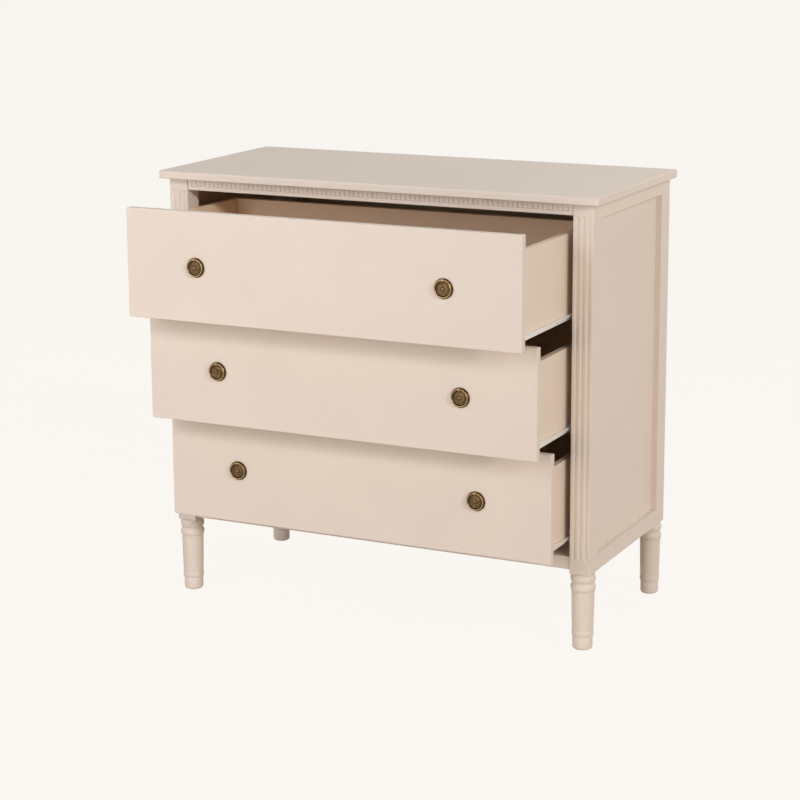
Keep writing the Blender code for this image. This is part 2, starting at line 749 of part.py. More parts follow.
def runner_section(side, y, lift):
    """The section of the member under the drawer side, in the drawer's own frame."""
    inner = BOX_HALF + SEAT_GAP
    outer = inner + STEEL
    foot_high = SIDE_RISE - SEAT_GAP
    foot_low = foot_high - STEEL
    high = SIDE_RISE + RUNNER_RISE + lift
    section = (
        (inner - RUNNER_FOOT, foot_low),
        (outer, foot_low),
        (outer, high - STEEL),
        (outer + RUNNER_LIP, high - STEEL),
        (outer + RUNNER_LIP, high),
        (inner, high),
        (inner, foot_high),
        (inner - RUNNER_FOOT, foot_high),
    )
    return [(side * x, y, z) for x, z in section]


def make_runner(frame, drawer, side, side_name):
    """The moving member of a slide, with its rear roller."""
    bm = bmesh.new()
    add_loft(bm, [runner_section(side, y, lift) for y, lift in runner_stations()])
    name = f"{drawer}_runner_{side_name}"
    runner = piece(name, bm, "coated_steel", frame)
    y = SIDE_START + RUNNER_LENGTH - ROLLER_INSET
    z = SIDE_RISE - CHANNEL_DROP + STEEL + ROLLER_PLAY + ROLLER_RADIUS
    web_outer = BOX_HALF + SEAT_GAP + STEEL
    inner = web_outer + ROLLER_CLEARANCE
    roller = bmesh.new()
    start = (side * inner, y, z)
    end = (side * (inner + ROLLER_WIDTH), y, z)
    add_rod(roller, start, end, ROLLER_RADIUS, ROLLER_SIDES)
    axle = bmesh.new()
    start = (side * (web_outer - JOIN_OVERLAP), y, z)
    end = (side * (inner + JOIN_OVERLAP), y, z)
    add_rod(axle, start, end, AXLE_RADIUS, AXLE_SIDES)
    tool(f"{name}_axle", axle, runner, "UNION")
    tool(f"{name}_roller", roller, runner, "UNION")


def bottom_heights():
    """The Z range of a drawer bottom, in the drawer's own frame."""
    low = SIDE_RISE + BOTTOM_RISE
    return low, low + BOTTOM_THICKNESS


def make_front(frame, drawer):
    """A slab front with eased edges, a groove for the bottom and two stud holes."""
    bm = box((-FRONT_HALF, FRONT_HALF), (0, FRONT_THICKNESS), (0, FRONT_HEIGHT))
    front = piece(f"{drawer}_front", bm, "paint", frame)
    round_edges(front, FRONT_EDGE_RADIUS)
    half = BOX_INNER_HALF + BOTTOM_GROOVE
    cuts = bmesh.new()
    ys = (FRONT_THICKNESS - BOTTOM_GROOVE, FRONT_THICKNESS + CUT_OVERRUN)
    add_box(cuts, (-half, half), ys, grown(bottom_heights()))
    z = FRONT_HEIGHT / 2
    for side in (-1, 1):
        start = (side * PULL_OFFSET, -CUT_OVERRUN, z)
        end = (side * PULL_OFFSET, FRONT_THICKNESS + CUT_OVERRUN, z)
        add_rod(cuts, start, end, STUD_HOLE_RADIUS, STUD_SIDES)
    tool(f"{drawer}_front_cuts", cuts, front, "DIFFERENCE")


def make_drawer_box(frame, drawer):
    """The two sides, the back and the bottom of a drawer."""
    rear = SIDE_START + SIDE_LENGTH
    heights = (SIDE_RISE, SIDE_RISE + SIDE_HEIGHT)
    for side, side_name in ((-1, "left"), (1, "right")):
        bm = box(mirrored(side, BOX_INNER_HALF, BOX_HALF), (SIDE_START, rear), heights)
        wall = piece(f"{drawer}_side_{side_name}", bm, "box_paint", frame)
        near = BOX_INNER_HALF - CUT_OVERRUN
        cut = box(
            mirrored(side, near, BOX_INNER_HALF + BOTTOM_GROOVE),
            (SIDE_START - CUT_OVERRUN, rear + CUT_OVERRUN),
            grown(bottom_heights()),
        )
        tool(f"{drawer}_side_{side_name}_groove", cut, wall, "DIFFERENCE")
    half = BOX_INNER_HALF - SEAT_GAP
    bottom_high = bottom_heights()[1]
    bm = box((-half, half), (rear - SIDE_THICKNESS, rear), (bottom_high + SEAT_GAP, heights[1]))
    piece(f"{drawer}_back", bm, "box_paint", frame)
    reach = BOTTOM_GROOVE - SEAT_GAP
    half = BOX_INNER_HALF + reach
    bm = box((-half, half), (FRONT_THICKNESS - reach, rear), bottom_heights())
    piece(f"{drawer}_bottom", bm, "board", frame)


def plate_profile():
    """The stepped outline of a pull's plate, from its back to its button."""
    return (
        (PLATE_RADIUS, SEAT_GAP),
        (PLATE_RADIUS, PLATE_RIM_HEIGHT / 2),
        (PLATE_RIM_RADIUS, PLATE_RIM_HEIGHT),
        (PLATE_FLAT_RADIUS, PLATE_FLAT_HEIGHT),
        (DISH_RIM_RADIUS, DISH_RIM_HEIGHT),
        (DISH_STEP_RADIUS, DISH_STEP_HEIGHT),
        (DISH_FLOOR_RADIUS, DISH_FLOOR_HEIGHT),
        (BUTTON_RADIUS, DISH_FLOOR_HEIGHT),
        (BUTTON_RADIUS, BUTTON_SHOULDER_HEIGHT),
        (BUTTON_CROWN_RADIUS, BUTTON_HEIGHT),
    )


def eye_outline():
    """The side outline of the eye that carries the ring, as a round head on a straight foot."""
    points = []
    for step in range(EYE_STEPS + 1):
        angle = math.pi * step / EYE_STEPS
        y = RING_RADIUS + EYE_RADIUS * math.cos(angle)
        z = RING_STANDOFF + EYE_RADIUS * math.sin(angle)
        points.append((-EYE_WIDTH / 2, y, z))
    points.append((-EYE_WIDTH / 2, RING_RADIUS - EYE_RADIUS, EYE_FOOT_HEIGHT))
    points.append((-EYE_WIDTH / 2, RING_RADIUS + EYE_RADIUS / 2, EYE_FOOT_HEIGHT))
    return points


def make_plate(frame, name, x):
    """A plate with its eye and stud, built with Z pointing out of the drawer front."""
    bm = bmesh.new()
    add_turning(bm, plate_profile(), PLATE_SIDES, Matrix.Identity(4))
    plate = piece(name, bm, "brass", frame, round_piece=True)
    plate.location = (x, 0, FRONT_HEIGHT / 2)
    plate.rotation_euler = (math.pi / 2, 0, 0)
    extra = bmesh.new()
    add_prism(extra, eye_outline(), (EYE_WIDTH, 0, 0))
    stud_end = -FRONT_THICKNESS - STUD_PAST_FRONT
    stud_start = SEAT_GAP + JOIN_OVERLAP
    add_rod(extra, (0, 0, stud_end), (0, 0, stud_start), STUD_RADIUS, STUD_SIDES)
    tool(f"{name}_eye_and_stud", extra, plate, "UNION")
    hole = bmesh.new()
    start = (-EYE_WIDTH / 2 - CUT_OVERRUN, RING_RADIUS, RING_STANDOFF)
    end = (EYE_WIDTH / 2 + CUT_OVERRUN, RING_RADIUS, RING_STANDOFF)
    add_rod(hole, start, end, EYE_HOLE_RADIUS, EYE_STEPS * 2)
    tool(f"{name}_hole", hole, plate, "DIFFERENCE")


def make_ring(frame, name, x):
    """A ring that hangs from its hinge line, built with that line through its origin."""
    bm = bmesh.new()
    loops = []
    for step in range(RING_SIDES):
        around = math.tau * step / RING_SIDES
        outward = Vector((math.sin(around), math.cos(around), 0))
        centre = RING_RADIUS * outward - Vector((0, RING_RADIUS, 0))
        loop = []
        for turn in range(WIRE_SIDES):
            angle = math.tau * turn / WIRE_SIDES
            offset = math.cos(angle) * outward + math.sin(angle) * Vector((0, 0, 1))
            loop.append(bm.verts.new(centre + RING_WIRE_RADIUS * offset))
        loops.append(loop)
    for step, loop in enumerate(loops):
        after = loops[(step + 1) % RING_SIDES]
        for turn in range(WIRE_SIDES):
            right = (turn + 1) % WIRE_SIDES
            bm.faces.new((loop[turn], loop[right], after[right], after[turn]))
    ring = piece(name, bm, "brass", frame, round_piece=True)
    ring.location = (x, -RING_STANDOFF, FRONT_HEIGHT / 2 + RING_RADIUS)
    ring.rotation_euler = (math.pi / 2, 0, 0)


def make_drawer(chest, number, drawer):
    """One drawer on an empty at the lower middle of its front's face."""
    frame = bpy.data.objects.new(f"{drawer}_drawer_frame", None)
    bpy.context.scene.collection.objects.link(frame)
    frame.parent = chest
    frame.location = (0, FRONT_SETBACK - DRAWER_OPENINGS[drawer], front_low(number))
    make_front(frame, drawer)
    make_drawer_box(frame, drawer)
    for side, side_name in ((-1, "left"), (1, "right")):
        make_channel(chest, drawer, number, side, side_name)
        make_runner(frame, drawer, side, side_name)
        make_plate(frame, f"{drawer}_pull_plate_{side_name}", side * PULL_OFFSET)
        make_ring(frame, f"{drawer}_pull_ring_{side_name}", side * PULL_OFFSET)


def make_chest():
    """The whole chest on an empty at the foot of the case's front plane."""
    chest = bpy.data.objects.new("chest_frame", None)
    bpy.context.scene.collection.objects.link(chest)
    chest.location = (0, CASE_FRONT, 0)
    make_top(chest)
    make_cross_rails(chest)
    make_beads(chest)
    make_back(chest)
    for side, side_name in ((-1, "left"), (1, "right")):
        make_front_post(chest, side, side_name)
        make_rear_post(chest, side, side_name)
        make_side_frame(chest, side, side_name)
        make_leg(chest, f"front_leg_{side_name}", side, LEG_INSET, 1)
        make_leg(chest, f"rear_leg_{side_name}", side, CASE_DEPTH - LEG_INSET, REAR_LEG_SHARE)
    for number, drawer in enumerate(DRAWER_NAMES):
        make_drawer(chest, number, drawer)


if __name__ == "__main__":
    clear_scene()
    make_chest()
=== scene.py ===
"""The looks of a painted chest of three drawers, made on its packed model.

The file is laid out as an add-on and is run as a script. Each kind of piece has an operator of its own.
Places are in metres in the model's own space: X to the right, Y to the rear and Z up.
"""

import json
from collections import namedtuple
from functools import wraps
from types import SimpleNamespace

import bmesh
import bpy
import numpy as np
from bpy.props import FloatProperty, FloatVectorProperty, IntProperty, PointerProperty
from mathutils import Matrix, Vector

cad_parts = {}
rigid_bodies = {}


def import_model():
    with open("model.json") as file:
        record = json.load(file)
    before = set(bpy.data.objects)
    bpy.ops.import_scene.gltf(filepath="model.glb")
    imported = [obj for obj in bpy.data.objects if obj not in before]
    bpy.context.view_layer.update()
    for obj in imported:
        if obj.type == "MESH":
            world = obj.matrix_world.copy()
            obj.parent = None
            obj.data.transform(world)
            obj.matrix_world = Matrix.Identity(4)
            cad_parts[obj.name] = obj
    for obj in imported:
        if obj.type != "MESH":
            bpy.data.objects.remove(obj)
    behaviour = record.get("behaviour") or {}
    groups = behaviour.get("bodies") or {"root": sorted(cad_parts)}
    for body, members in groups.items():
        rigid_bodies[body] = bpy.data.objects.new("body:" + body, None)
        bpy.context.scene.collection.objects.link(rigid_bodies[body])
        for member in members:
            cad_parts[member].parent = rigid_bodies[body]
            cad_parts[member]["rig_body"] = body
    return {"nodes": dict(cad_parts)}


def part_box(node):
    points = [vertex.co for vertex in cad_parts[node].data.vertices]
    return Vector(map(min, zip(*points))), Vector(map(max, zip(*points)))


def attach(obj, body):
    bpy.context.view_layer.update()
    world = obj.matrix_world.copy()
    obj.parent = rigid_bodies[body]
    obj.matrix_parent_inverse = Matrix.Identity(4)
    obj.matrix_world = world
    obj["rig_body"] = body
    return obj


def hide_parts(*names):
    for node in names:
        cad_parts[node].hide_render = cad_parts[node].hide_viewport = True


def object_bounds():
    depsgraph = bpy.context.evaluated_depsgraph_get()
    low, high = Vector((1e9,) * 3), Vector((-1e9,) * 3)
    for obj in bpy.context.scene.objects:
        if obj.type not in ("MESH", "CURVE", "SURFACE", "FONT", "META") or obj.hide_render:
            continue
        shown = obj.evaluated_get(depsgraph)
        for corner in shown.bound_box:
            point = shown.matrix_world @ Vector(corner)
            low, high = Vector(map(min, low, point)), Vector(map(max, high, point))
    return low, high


bl_info = {
    "name": "Painted Chest of Drawers",
    "version": (1, 0, 0),
    "blender": (4, 5, 0),
    "location": "View3D > Sidebar > Chest",
    "description": "Makes the pieces, finishes and stage of a painted chest of three drawers",
    "category": "Add Mesh",
}

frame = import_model()
CAD_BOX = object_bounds()

DRAWERS = ("upper", "middle", "lower")
SIDES = (("left", -1), ("right", 1))
AXES = {"x": 0, "y": 1, "z": 2}

# Width of the flat rim beside a rounded corner, as a share of the corner's radius
RIM_SHARE = 0.25
# Bend from which an edge is shaded sharp, and distance within which points are merged
SHARP_ANGLE = np.radians(38)
DOUBLES = 2e-7

# A closed skin: its points, its faces, its finish's name (empty for a piece's first) and how deep in a
# recess each point lies, which also sets where shade is painted and where brass is dark with patina
Shell = namedtuple("Shell", "points faces finish recess", defaults=("", None))


# Sizes and colours


def length(name, description, default, **more):
    """A length that a user can change."""
    return FloatProperty(
        name=name, description=description, default=default, unit="LENGTH", precision=4, **more
    )


def colour(name, description, default):
    """A colour that a user can change."""
    return FloatVectorProperty(
        name=name,
        description=description,
        default=default,
        size=3,
        min=0,
        max=1,
        subtype="COLOR",
    )


class ChestSizes(bpy.types.PropertyGroup):
    """Sizes of the turned, moulded and pressed details."""

    top_corner: length("Top corner", "Corner radius of the top board", 0.007)
    top_edge: length("Top edge", "Rounding of the top board's edges", 0.002)
    arris: length("Arris", "Rounding of the outer edges of posts and rails", 0.0012)
    joint_arris: length("Joint arris", "Rounding where two painted pieces meet", 0.0003)
    front_edge: length("Front edge", "Rounding of the drawer fronts' edges", 0.0014)
    flute_radius: length("Flute radius", "Radius of a flute in the front posts", 0.0042)
    flute_depth: length("Flute depth", "Depth of a flute in the front posts", 0.0013)
    flute_pitch: length("Flute pitch", "Distance between neighbouring flutes", 0.0110)
    flute_rise: length("Flute rise", "Height of the flutes' lower ends above the leg", 0.0275)
    flute_arris: length("Flute arris", "Rounding of a flute's edges", 0.0003)
    bead_count: IntProperty(
        name="Beads", description="Number of beads under the top board", default=82, min=1
    )
    bead_rise: length("Bead rise", "Depth of the furrows between the beads", 0.0016)
    plate_rim: length("Plate rim", "Height of a pull plate's outer rim", 0.0018)
    ring_wire: length("Ring wire", "Radius of a pull ring's wire", 0.0015)
    screw_head: length("Screw head", "Radius of the slides' screw heads", 0.0034)


class ChestColours(bpy.types.PropertyGroup):
    """Colours of the finishes."""

    paint: colour("Paint", "Paint of the carcass and the drawer fronts", (0.80, 0.705, 0.63))
    box_paint: colour("Box paint", "Paint of the drawer boxes", (0.83, 0.704, 0.588))
    # Painted warm shade on the drawer boxes' inner faces
    box_inside_painted_shade: colour("Box inside", "Deeper paint inside the drawer boxes", (0.88, 0.67, 0.49))
    # Painted shade on the carcass's inner faces
    case_inside_painted_shade: colour("Case inside", "Deeper paint inside the carcass", (0.62, 0.46, 0.35))
    # Painted shade in the furrows between the beads
    furrow_painted_shade: colour("Furrow", "Paint that has gathered in the furrows between the beads", (0.50, 0.38, 0.30))
    board: colour("Board", "Thin board of the bottoms and the back", (0.62, 0.47, 0.33))
    steel: colour("Steel", "Coated steel of the slides", (0.63, 0.585, 0.545))
    roller: colour("Roller", "Moulded rollers of the slides", (0.78, 0.77, 0.74))
    zinc: colour("Zinc", "Screws and axles of the slides", (0.56, 0.55, 0.53))
    brass: colour("Brass", "Rubbed brass of the pulls", (0.35, 0.235, 0.112))
    patina: colour("Patina", "Dark brass in the hollows of the pulls", (0.034, 0.016, 0.004))
    backdrop: colour("Backdrop", "Paleness of the floor and the backdrop as seen", (0.956, 0.922, 0.880))
    floor: colour("Floor", "Warm light that the floor throws back", (0.62, 0.52, 0.42))


# Shapes


def corners_of(node):
    """The lowest and the highest corner of a node's box, as arrays."""
    low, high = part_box(node)
    return np.array(low), np.array(high)


def drawer_pairs(kind):
    """Each drawer's left and right node of a kind, with the drawer, the side's name and its direction."""
    for drawer in DRAWERS:
        for side_name, side in SIDES:
            yield drawer, side_name, side, f"{drawer}_{kind}_{side_name}"


def rounded_outline(corners, radii, steps=4):
    """Points and outward normals round an outline whose corners run anticlockwise.

    Each corner is an arc whose normal turns evenly from one edge's normal to the next one's. Its centre lies
    radius / (1 + cos of the turn) times the sum of both normals away from the corner, inwards at an outward
    corner and outwards at a hollow one. A point on each flat beside the arc keeps the flat's own shading.
    """
    corners = np.asarray(corners, float)
    radii = np.broadcast_to(np.asarray(radii, float), corners.shape[:-1])[..., None, None]
    before = corners - np.roll(corners, 1, axis=-2)
    before /= np.linalg.norm(before, axis=-1, keepdims=True)
    after = np.roll(before, -1, axis=-2)
    first = np.stack((before[..., 1], -before[..., 0]), -1)
    last = np.stack((after[..., 1], -after[..., 0]), -1)
    turn = np.arctan2(
        before[..., 0] * after[..., 1] - before[..., 1] * after[..., 0],
        (before * after).sum(-1),
    )[..., None]
    bend = np.sign(turn)[..., None]
    share = np.linspace(0, 1, steps + 1)
    angle = np.arctan2(first[..., 1], first[..., 0])[..., None] + turn * share
    normals = np.stack((np.cos(angle), np.sin(angle)), -1)
    reach = (first + last) / (1 + (first * last).sum(-1, keepdims=True))
    centres = corners[..., None, :] - bend * radii * reach[..., None, :]
    points = centres + bend * radii * normals
    lead = points[..., :1, :] - RIM_SHARE * radii * before[..., None, :]
    tail = points[..., -1:, :] + RIM_SHARE * radii * after[..., None, :]
    points = np.concatenate((lead, points, tail), -2)
    normals = np.concatenate((normals[..., :1, :], normals, normals[..., -1:, :]), -2)
    flat = corners.shape[:-2] + (-1, 2)
    return points.reshape(flat), normals.reshape(flat)


def eased_span(low, high, ease, steps=3):
    """Places along a bar and how far its outline draws in at each.

    Both ends turn in along a quarter circle, and a narrow flat rim lies inside each and beside each.
    """
    turn = np.linspace(0, np.pi / 2, steps + 1)
    offsets = np.concatenate(([0], ease * (1 - np.cos(turn)), [ease * (1 + RIM_SHARE)]))
    insets = np.concatenate(([ease * (1 + RIM_SHARE)], ease * (1 - np.sin(turn)), [0]))
    places = np.concatenate((low + offsets, (high - offsets)[::-1]))
    return places, np.concatenate((insets, insets[::-1]))


def loft(grid, ring=False, finish="", recess=None):
    """A closed skin over a grid of points whose rows are closed loops.

    Four neighbouring points make a face. The rows close on each other where ring is true; otherwise the first
    and the last row are filled flat.
    """
    rows, columns = grid.shape[:2]
    index = np.arange(rows * columns).reshape(rows, columns)
    walk = np.vstack((index, index[:1])) if ring else index
    beside = np.roll(walk, -1, axis=1)
    faces = np.stack((walk[:-1], beside[:-1], beside[1:], walk[1:]), -1).reshape(-1, 4).tolist()
    if not ring:
        faces += [index[0][::-1].tolist(), index[-1].tolist()]
    values = None if recess is None else np.repeat(recess, columns)
    return Shell(grid.reshape(-1, 3), faces, finish, values)


def bar(corners, radii, span, ease, axis, finish="", steps=4):
    """A rounded outline carried straight along an axis, drawn in at both ends by eased_span."""
    outline, normals = rounded_outline(corners, radii, steps)
    places, insets = eased_span(*span, ease)
    flat = outline[None] - insets[:, None, None] * normals[None]
    along = np.broadcast_to(places[:, None], flat.shape[:2])
    return loft(np.insert(flat, AXES[axis], along, axis=-1), finish=finish)


def rectangle(low, high):
    """The corners of a rectangle, anticlockwise."""
    return np.array(((low[0], low[1]), (high[0], low[1]), (high[0], high[1]), (low[0], high[1])))


def board(low, high, axis, radius, ease, finish="", steps=4):
    """A rectangular board whose section stands square to an axis, within two corners of its box."""
    other = [number for number in range(3) if number != AXES[axis]]
    span = (low[AXES[axis]], high[AXES[axis]])
    return bar(rectangle(low[other], high[other]), radius, span, ease, axis, finish, steps)


def two_sided(shell, node):
    """The shell of a side or back, whose recess value, the mask of its painted shade, grows from 0 at its
    outer face to 1 at its inner.
    """
    low, high = corners_of(node)
    number = 1 if node.endswith("back") else 0
    share = (shell.points[:, number] - low[number]) / (high[number] - low[number])
    return shell._replace(recess=1 - share if node.endswith(("back", "right")) else share)


def turned(profile, place, sides, finish="", recess=None):
    """A turning: each (radius, height) of the profile goes round the local Z axis in equal steps."""
    profile = np.asarray(profile, float)
    angle = np.linspace(0, 2 * np.pi, sides, endpoint=False)
    circle = np.stack((np.cos(angle), np.sin(angle)), -1)
    across = profile[:, None, :1] * circle[None]
    heights = np.broadcast_to(profile[:, None, 1:], across.shape[:2] + (1,))
    grid = np.concatenate((across, heights), -1)
    return loft(moved(grid, place), finish=finish, recess=recess)


def moved(points, place):
    """Points carried by a four by four matrix: the turn times each point, plus the shift."""
    place = np.array(place)
    return points @ place[:3, :3].T + place[:3, 3]


def arc(centre, radius, start, end, steps):
    """Points on a circle from one angle to another, in degrees, in equal steps."""
    angle = np.radians(np.linspace(start, end, steps + 1))
    return np.stack((centre[0] + radius * np.cos(angle), centre[1] + radius * np.sin(angle)), -1)


def along_x(side, place):
    """A place whose local Z axis points along X, to the right where side is 1 and else to the left."""
    return Matrix.Translation(place) @ Matrix.Rotation(side * np.pi / 2, 4, "Y")


def facing_front(place):
    """A place whose local Z axis points out of a drawer front and whose local Y axis points up."""
    return Matrix.Translation(place) @ Matrix.Rotation(np.pi / 2, 4, "X")


def make_piece(name, shells, finishes, replaced):
    """One mesh object from closed shells, which rides the body of the nodes that it replaces.

    Coincident points are merged, so that poles and eased corners close, and the faces are turned outwards.
    """
    points = np.concatenate([shell.points for shell in shells])
    faces, numbers, recess, start = [], [], [], 0
    names = list(finishes)
    for shell in shells:
        faces += [[start + index for index in face] for face in shell.faces]
        numbers += [names.index(shell.finish or names[0])] * len(shell.faces)
        empty = np.zeros(len(shell.points))
        recess.append(empty if shell.recess is None else shell.recess)
        start += len(shell.points)
    mesh = bpy.data.meshes.new(name)
    mesh.from_pydata(points.tolist(), [], faces)
    mesh.polygons.foreach_set("material_index", numbers)
    values = mesh.attributes.new("recess", "FLOAT", "POINT")
    values.data.foreach_set("value", np.concatenate(recess))
    close_mesh(mesh)
    for finish in finishes.values():
        mesh.materials.append(finish)
    made = bpy.data.objects.new(name, mesh)
    bpy.context.scene.collection.objects.link(made)
    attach(made, frame["nodes"][replaced[0]]["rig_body"])
    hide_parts(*replaced)


def close_mesh(mesh):
    """Merges coincident points, turns the faces outwards and sets which edges are sharp."""
    bm = bmesh.new()
    bm.from_mesh(mesh)
    bmesh.ops.remove_doubles(bm, verts=bm.verts, dist=DOUBLES)
    bmesh.ops.dissolve_degenerate(bm, edges=bm.edges, dist=DOUBLES)
    bmesh.ops.recalc_face_normals(bm, faces=bm.faces)
    bm.to_mesh(mesh)
    bm.free()
    mesh.shade_smooth()
    mesh.set_sharp_from_angle(angle=SHARP_ANGLE)


# Finishes


class Nodes:
    """The node tree of a material or a world, and the means to fill it."""

    def __init__(self, owner):
        owner.use_nodes = True
        self.tree = owner.node_tree

    def node(self, kind, inputs=None, **settings):
        """A new node with its settings, and with its inputs fed by name or number."""
        made = self.tree.nodes.new(kind)
        for key, value in settings.items():
            setattr(made, key, value)
        for key, value in (inputs or {}).items():
            self.feed(made.inputs[key], value)
        return made

    def feed(self, socket, value):
        """Links an output to a socket, or sets the socket to a plain value."""
        if isinstance(value, bpy.types.NodeSocket):
            self.tree.links.new(value, socket)
        else:
            socket.default_value = value

    def maths(self, operation, first, second):
        """Two values put together by one operation."""
        return self.node("ShaderNodeMath", {0: first, 1: second}, operation=operation).outputs["Value"]

    def camera_share(self):
        """A share that is 1 for camera, glossy and transmitted rays and 0 for the others."""
        rays = self.node("ShaderNodeLightPath").outputs
        seen = self.maths("MAXIMUM", rays["Is Camera Ray"], rays["Is Glossy Ray"])
        return self.maths("MAXIMUM", seen, rays["Is Transmission Ray"])


class Finish(Nodes):
    """A Principled material whose colour, roughness and bump come from noise on object coordinates."""

    def __init__(self, name, metallic=0.0):
        self.material = bpy.data.materials.new(name)
        super().__init__(self.material)
        self.shader = self.tree.nodes["Principled BSDF"]
        self.shader.inputs["Metallic"].default_value = metallic
        self.place = self.node("ShaderNodeTexCoord").outputs["Object"]

    def noise(self, size, stretch=(1, 1, 1), detail=3.0):
        """Noise whose blotches are about one size across, times the stretch on each axis."""
        scale = [1 / (size * share) for share in stretch]
        mapping = self.node("ShaderNodeMapping", {"Vector": self.place, "Scale": scale})
        inputs = {"Vector": mapping.outputs["Vector"], "Scale": 1.0, "Detail": detail}
        return self.node("ShaderNodeTexNoise", inputs).outputs["Fac"]

    def recess(self):
        """How deep in a recess a point lies, as kept on the mesh's points."""
        return self.node("ShaderNodeAttribute", attribute_name="recess").outputs["Fac"]

    def spread(self, value, low, high, start=0.3, end=0.7):
        """A value carried from one range, by default that of noise, onto another and held at its ends."""
        inputs = {"Value": value, "From Min": start, "From Max": end, "To Min": low, "To Max": high}
        return self.node("ShaderNodeMapRange", inputs).outputs["Result"]

    def blend(self, share, first, second):
        """A colour between two colours."""
        first, second = ((*tone, 1) if isinstance(tone, tuple) else tone for tone in (first, second))
        inputs = {"Factor": share, "A": first, "B": second}
        return self.node("ShaderNodeMix", inputs, data_type="RGBA").outputs["Result"]

    def mottle(self, value, tone, dark, light):
        """A colour that a value carries from a darker to a lighter tint of one tone."""
        return self.blend(self.spread(value, 0, 1), tinted(tone, dark), tinted(tone, light))

    def colour(self, value):
        """The colour of the finish."""
        self.feed(self.shader.inputs["Base Color"], value)

    def roughness(self, value):
        """The roughness of the finish."""
        self.feed(self.shader.inputs["Roughness"], value)

    def bump(self, value, depth, strength):
        """A relief of a given depth, laid over the reliefs before it."""
        made = self.node("ShaderNodeBump", {"Strength": strength, "Distance": depth, "Height": value})
        normal = self.shader.inputs["Normal"]
        if normal.is_linked:
            self.feed(made.inputs["Normal"], normal.links[0].from_socket)
        self.feed(normal, made.outputs["Normal"])


def tinted(tone, share):
    """A colour with each part made lighter or darker by one share."""
    return tuple(min(1.0, part * share) for part in tone)


def made_once(make):
    """A maker of finishes that makes each name once and then gives the same finish again."""

    @wraps(make)
    def found_or_made(name, *details):
        return bpy.data.materials.get(name) or make(name, *details)

    return found_or_made


# How many times longer than wide a brush stroke is, and the shade of the laps between the strokes
STROKE_LENGTH = 14.0
LAP_SHADE = 0.97


@made_once
def paint(name, tone, axis, inside=None):
    """Satin paint, rolled on and laid off along one axis, with a second colour of painted shade where the
    recess value is 1.
    """
    made = Finish(name)
    stretch = tuple(STROKE_LENGTH if number == AXES[axis] else 1.0 for number in range(3))
    cloud = made.noise(size=0.16, detail=2.0)
    strokes = made.noise(size=0.0022, stretch=stretch, detail=2.0)
    peel = made.noise(size=0.0013, detail=1.0)
    shade = made.mottle(cloud, tone, 0.975, 1.015)
    lap = tinted(tone, LAP_SHADE)
    if inside:
        shade = made.blend(made.recess(), shade, inside)
        lap = made.blend(made.recess(), lap, tinted(inside, LAP_SHADE))
    made.colour(made.blend(made.spread(strokes, 0, 0.35), shade, lap))
    made.roughness(made.spread(strokes, 0.44, 0.54))
    made.bump(strokes, depth=0.00006, strength=0.5)
    made.bump(peel, depth=0.00004, strength=0.5)
    return made.material


@made_once
def thin_board(name, tone):
    """Thin pressed board with short fibres that lie every way and a faint long grain."""
    made = Finish(name)
    fibres = made.noise(size=0.0016, stretch=(3, 3, 1), detail=5.0)
    grain = made.noise(size=0.012, stretch=(9, 1, 1), detail=4.0)
    shade = made.mottle(grain, tone, 0.86, 1.10)
    made.colour(made.blend(made.spread(fibres, 0, 0.5), shade, tinted(tone, 0.78)))
    made.roughness(made.spread(fibres, 0.62, 0.8))
    made.bump(fibres, depth=0.0001, strength=0.5)
    return made.material


@made_once
def coated_steel(name, tone):
    """Pressed steel under a thin baked coat, with faint draw lines along it, and painted shade where the
    recess is 1.
    """
    made = Finish(name)
    lines = made.noise(size=0.0008, stretch=(1, 60, 1), detail=2.0)
    speckle = made.noise(size=0.0006, detail=2.0)
    made.colour(made.blend(made.recess(), made.mottle(lines, tone, 0.94, 1.03), tinted(tone, 0.35)))
    made.roughness(made.spread(speckle, 0.40, 0.52))
    made.bump(speckle, depth=0.00003, strength=0.4)
    return made.material


@made_once
def moulded(name, tone):
    """Moulded plastic of the rollers, with cloudy colour and polish and a fine grain."""
    made = Finish(name)
    cloud = made.noise(size=0.004, detail=2.0)
    made.colour(made.mottle(cloud, tone, 0.95, 1.02))
    made.roughness(made.spread(cloud, 0.30, 0.42))
    made.bump(made.noise(size=0.0006), depth=0.00002, strength=0.4)
    return made.material


@made_once
def zinc(name, tone):
    """Zinc-plated screws and axles."""
    made = Finish(name, metallic=1.0)
    spangle = made.noise(size=0.0012, detail=3.0)
    made.colour(made.mottle(spangle, tone, 0.85, 1.1))
    made.roughness(made.spread(spangle, 0.28, 0.45))
    made.bump(spangle, depth=0.00003, strength=0.4)
    return made.material


@made_once
def old_brass(name, bright, dark):
    """Old brass: dark where the recess value is high, rubbed bright where it is low."""
    made = Finish(name, metallic=0.85)
    blotch = made.noise(size=0.0045, detail=4.0)
    scratch = made.noise(size=0.0007, stretch=(1, 1, 6), detail=3.0)
    depth = made.maths("ADD", made.recess(), made.spread(blotch, -0.16, 0.16))
    share = made.spread(depth, 0, 1, 0.0, 1.0)
    tone = made.blend(share, bright, dark)
    made.colour(made.blend(made.spread(scratch, 0, 0.25), tone, tinted(dark, 0.8)))
    made.roughness(made.spread(depth, 0.24, 0.46, 0.0, 1.0))
    made.bump(blotch, depth=0.00008, strength=0.4)
    made.bump(scratch, depth=0.00002, strength=0.4)
    return made.material


def paint_finishes(axis):
    """The carcass paint, laid off along one axis."""
    tone = tuple(bpy.context.scene.chest_colours.paint)
    return {"paint": paint(f"satin_paint_{axis}", tone, axis)}


def make_painted(node, shell, axis, name=""):
    """A piece in the carcass paint that stands in for one node and bears its name unless it has its own."""
    make_piece(f"painted_{name or node}", [shell], paint_finishes(axis), [node])


def slide_finishes():
    """The finishes of the slides and runners."""
    colours = bpy.context.scene.chest_colours
    return {
        "steel": coated_steel("coated_steel", tuple(colours.steel)),
        "roller": moulded("roller_plastic", tuple(colours.roller)),
        "zinc": zinc("zinc_plate", tuple(colours.zinc)),
    }


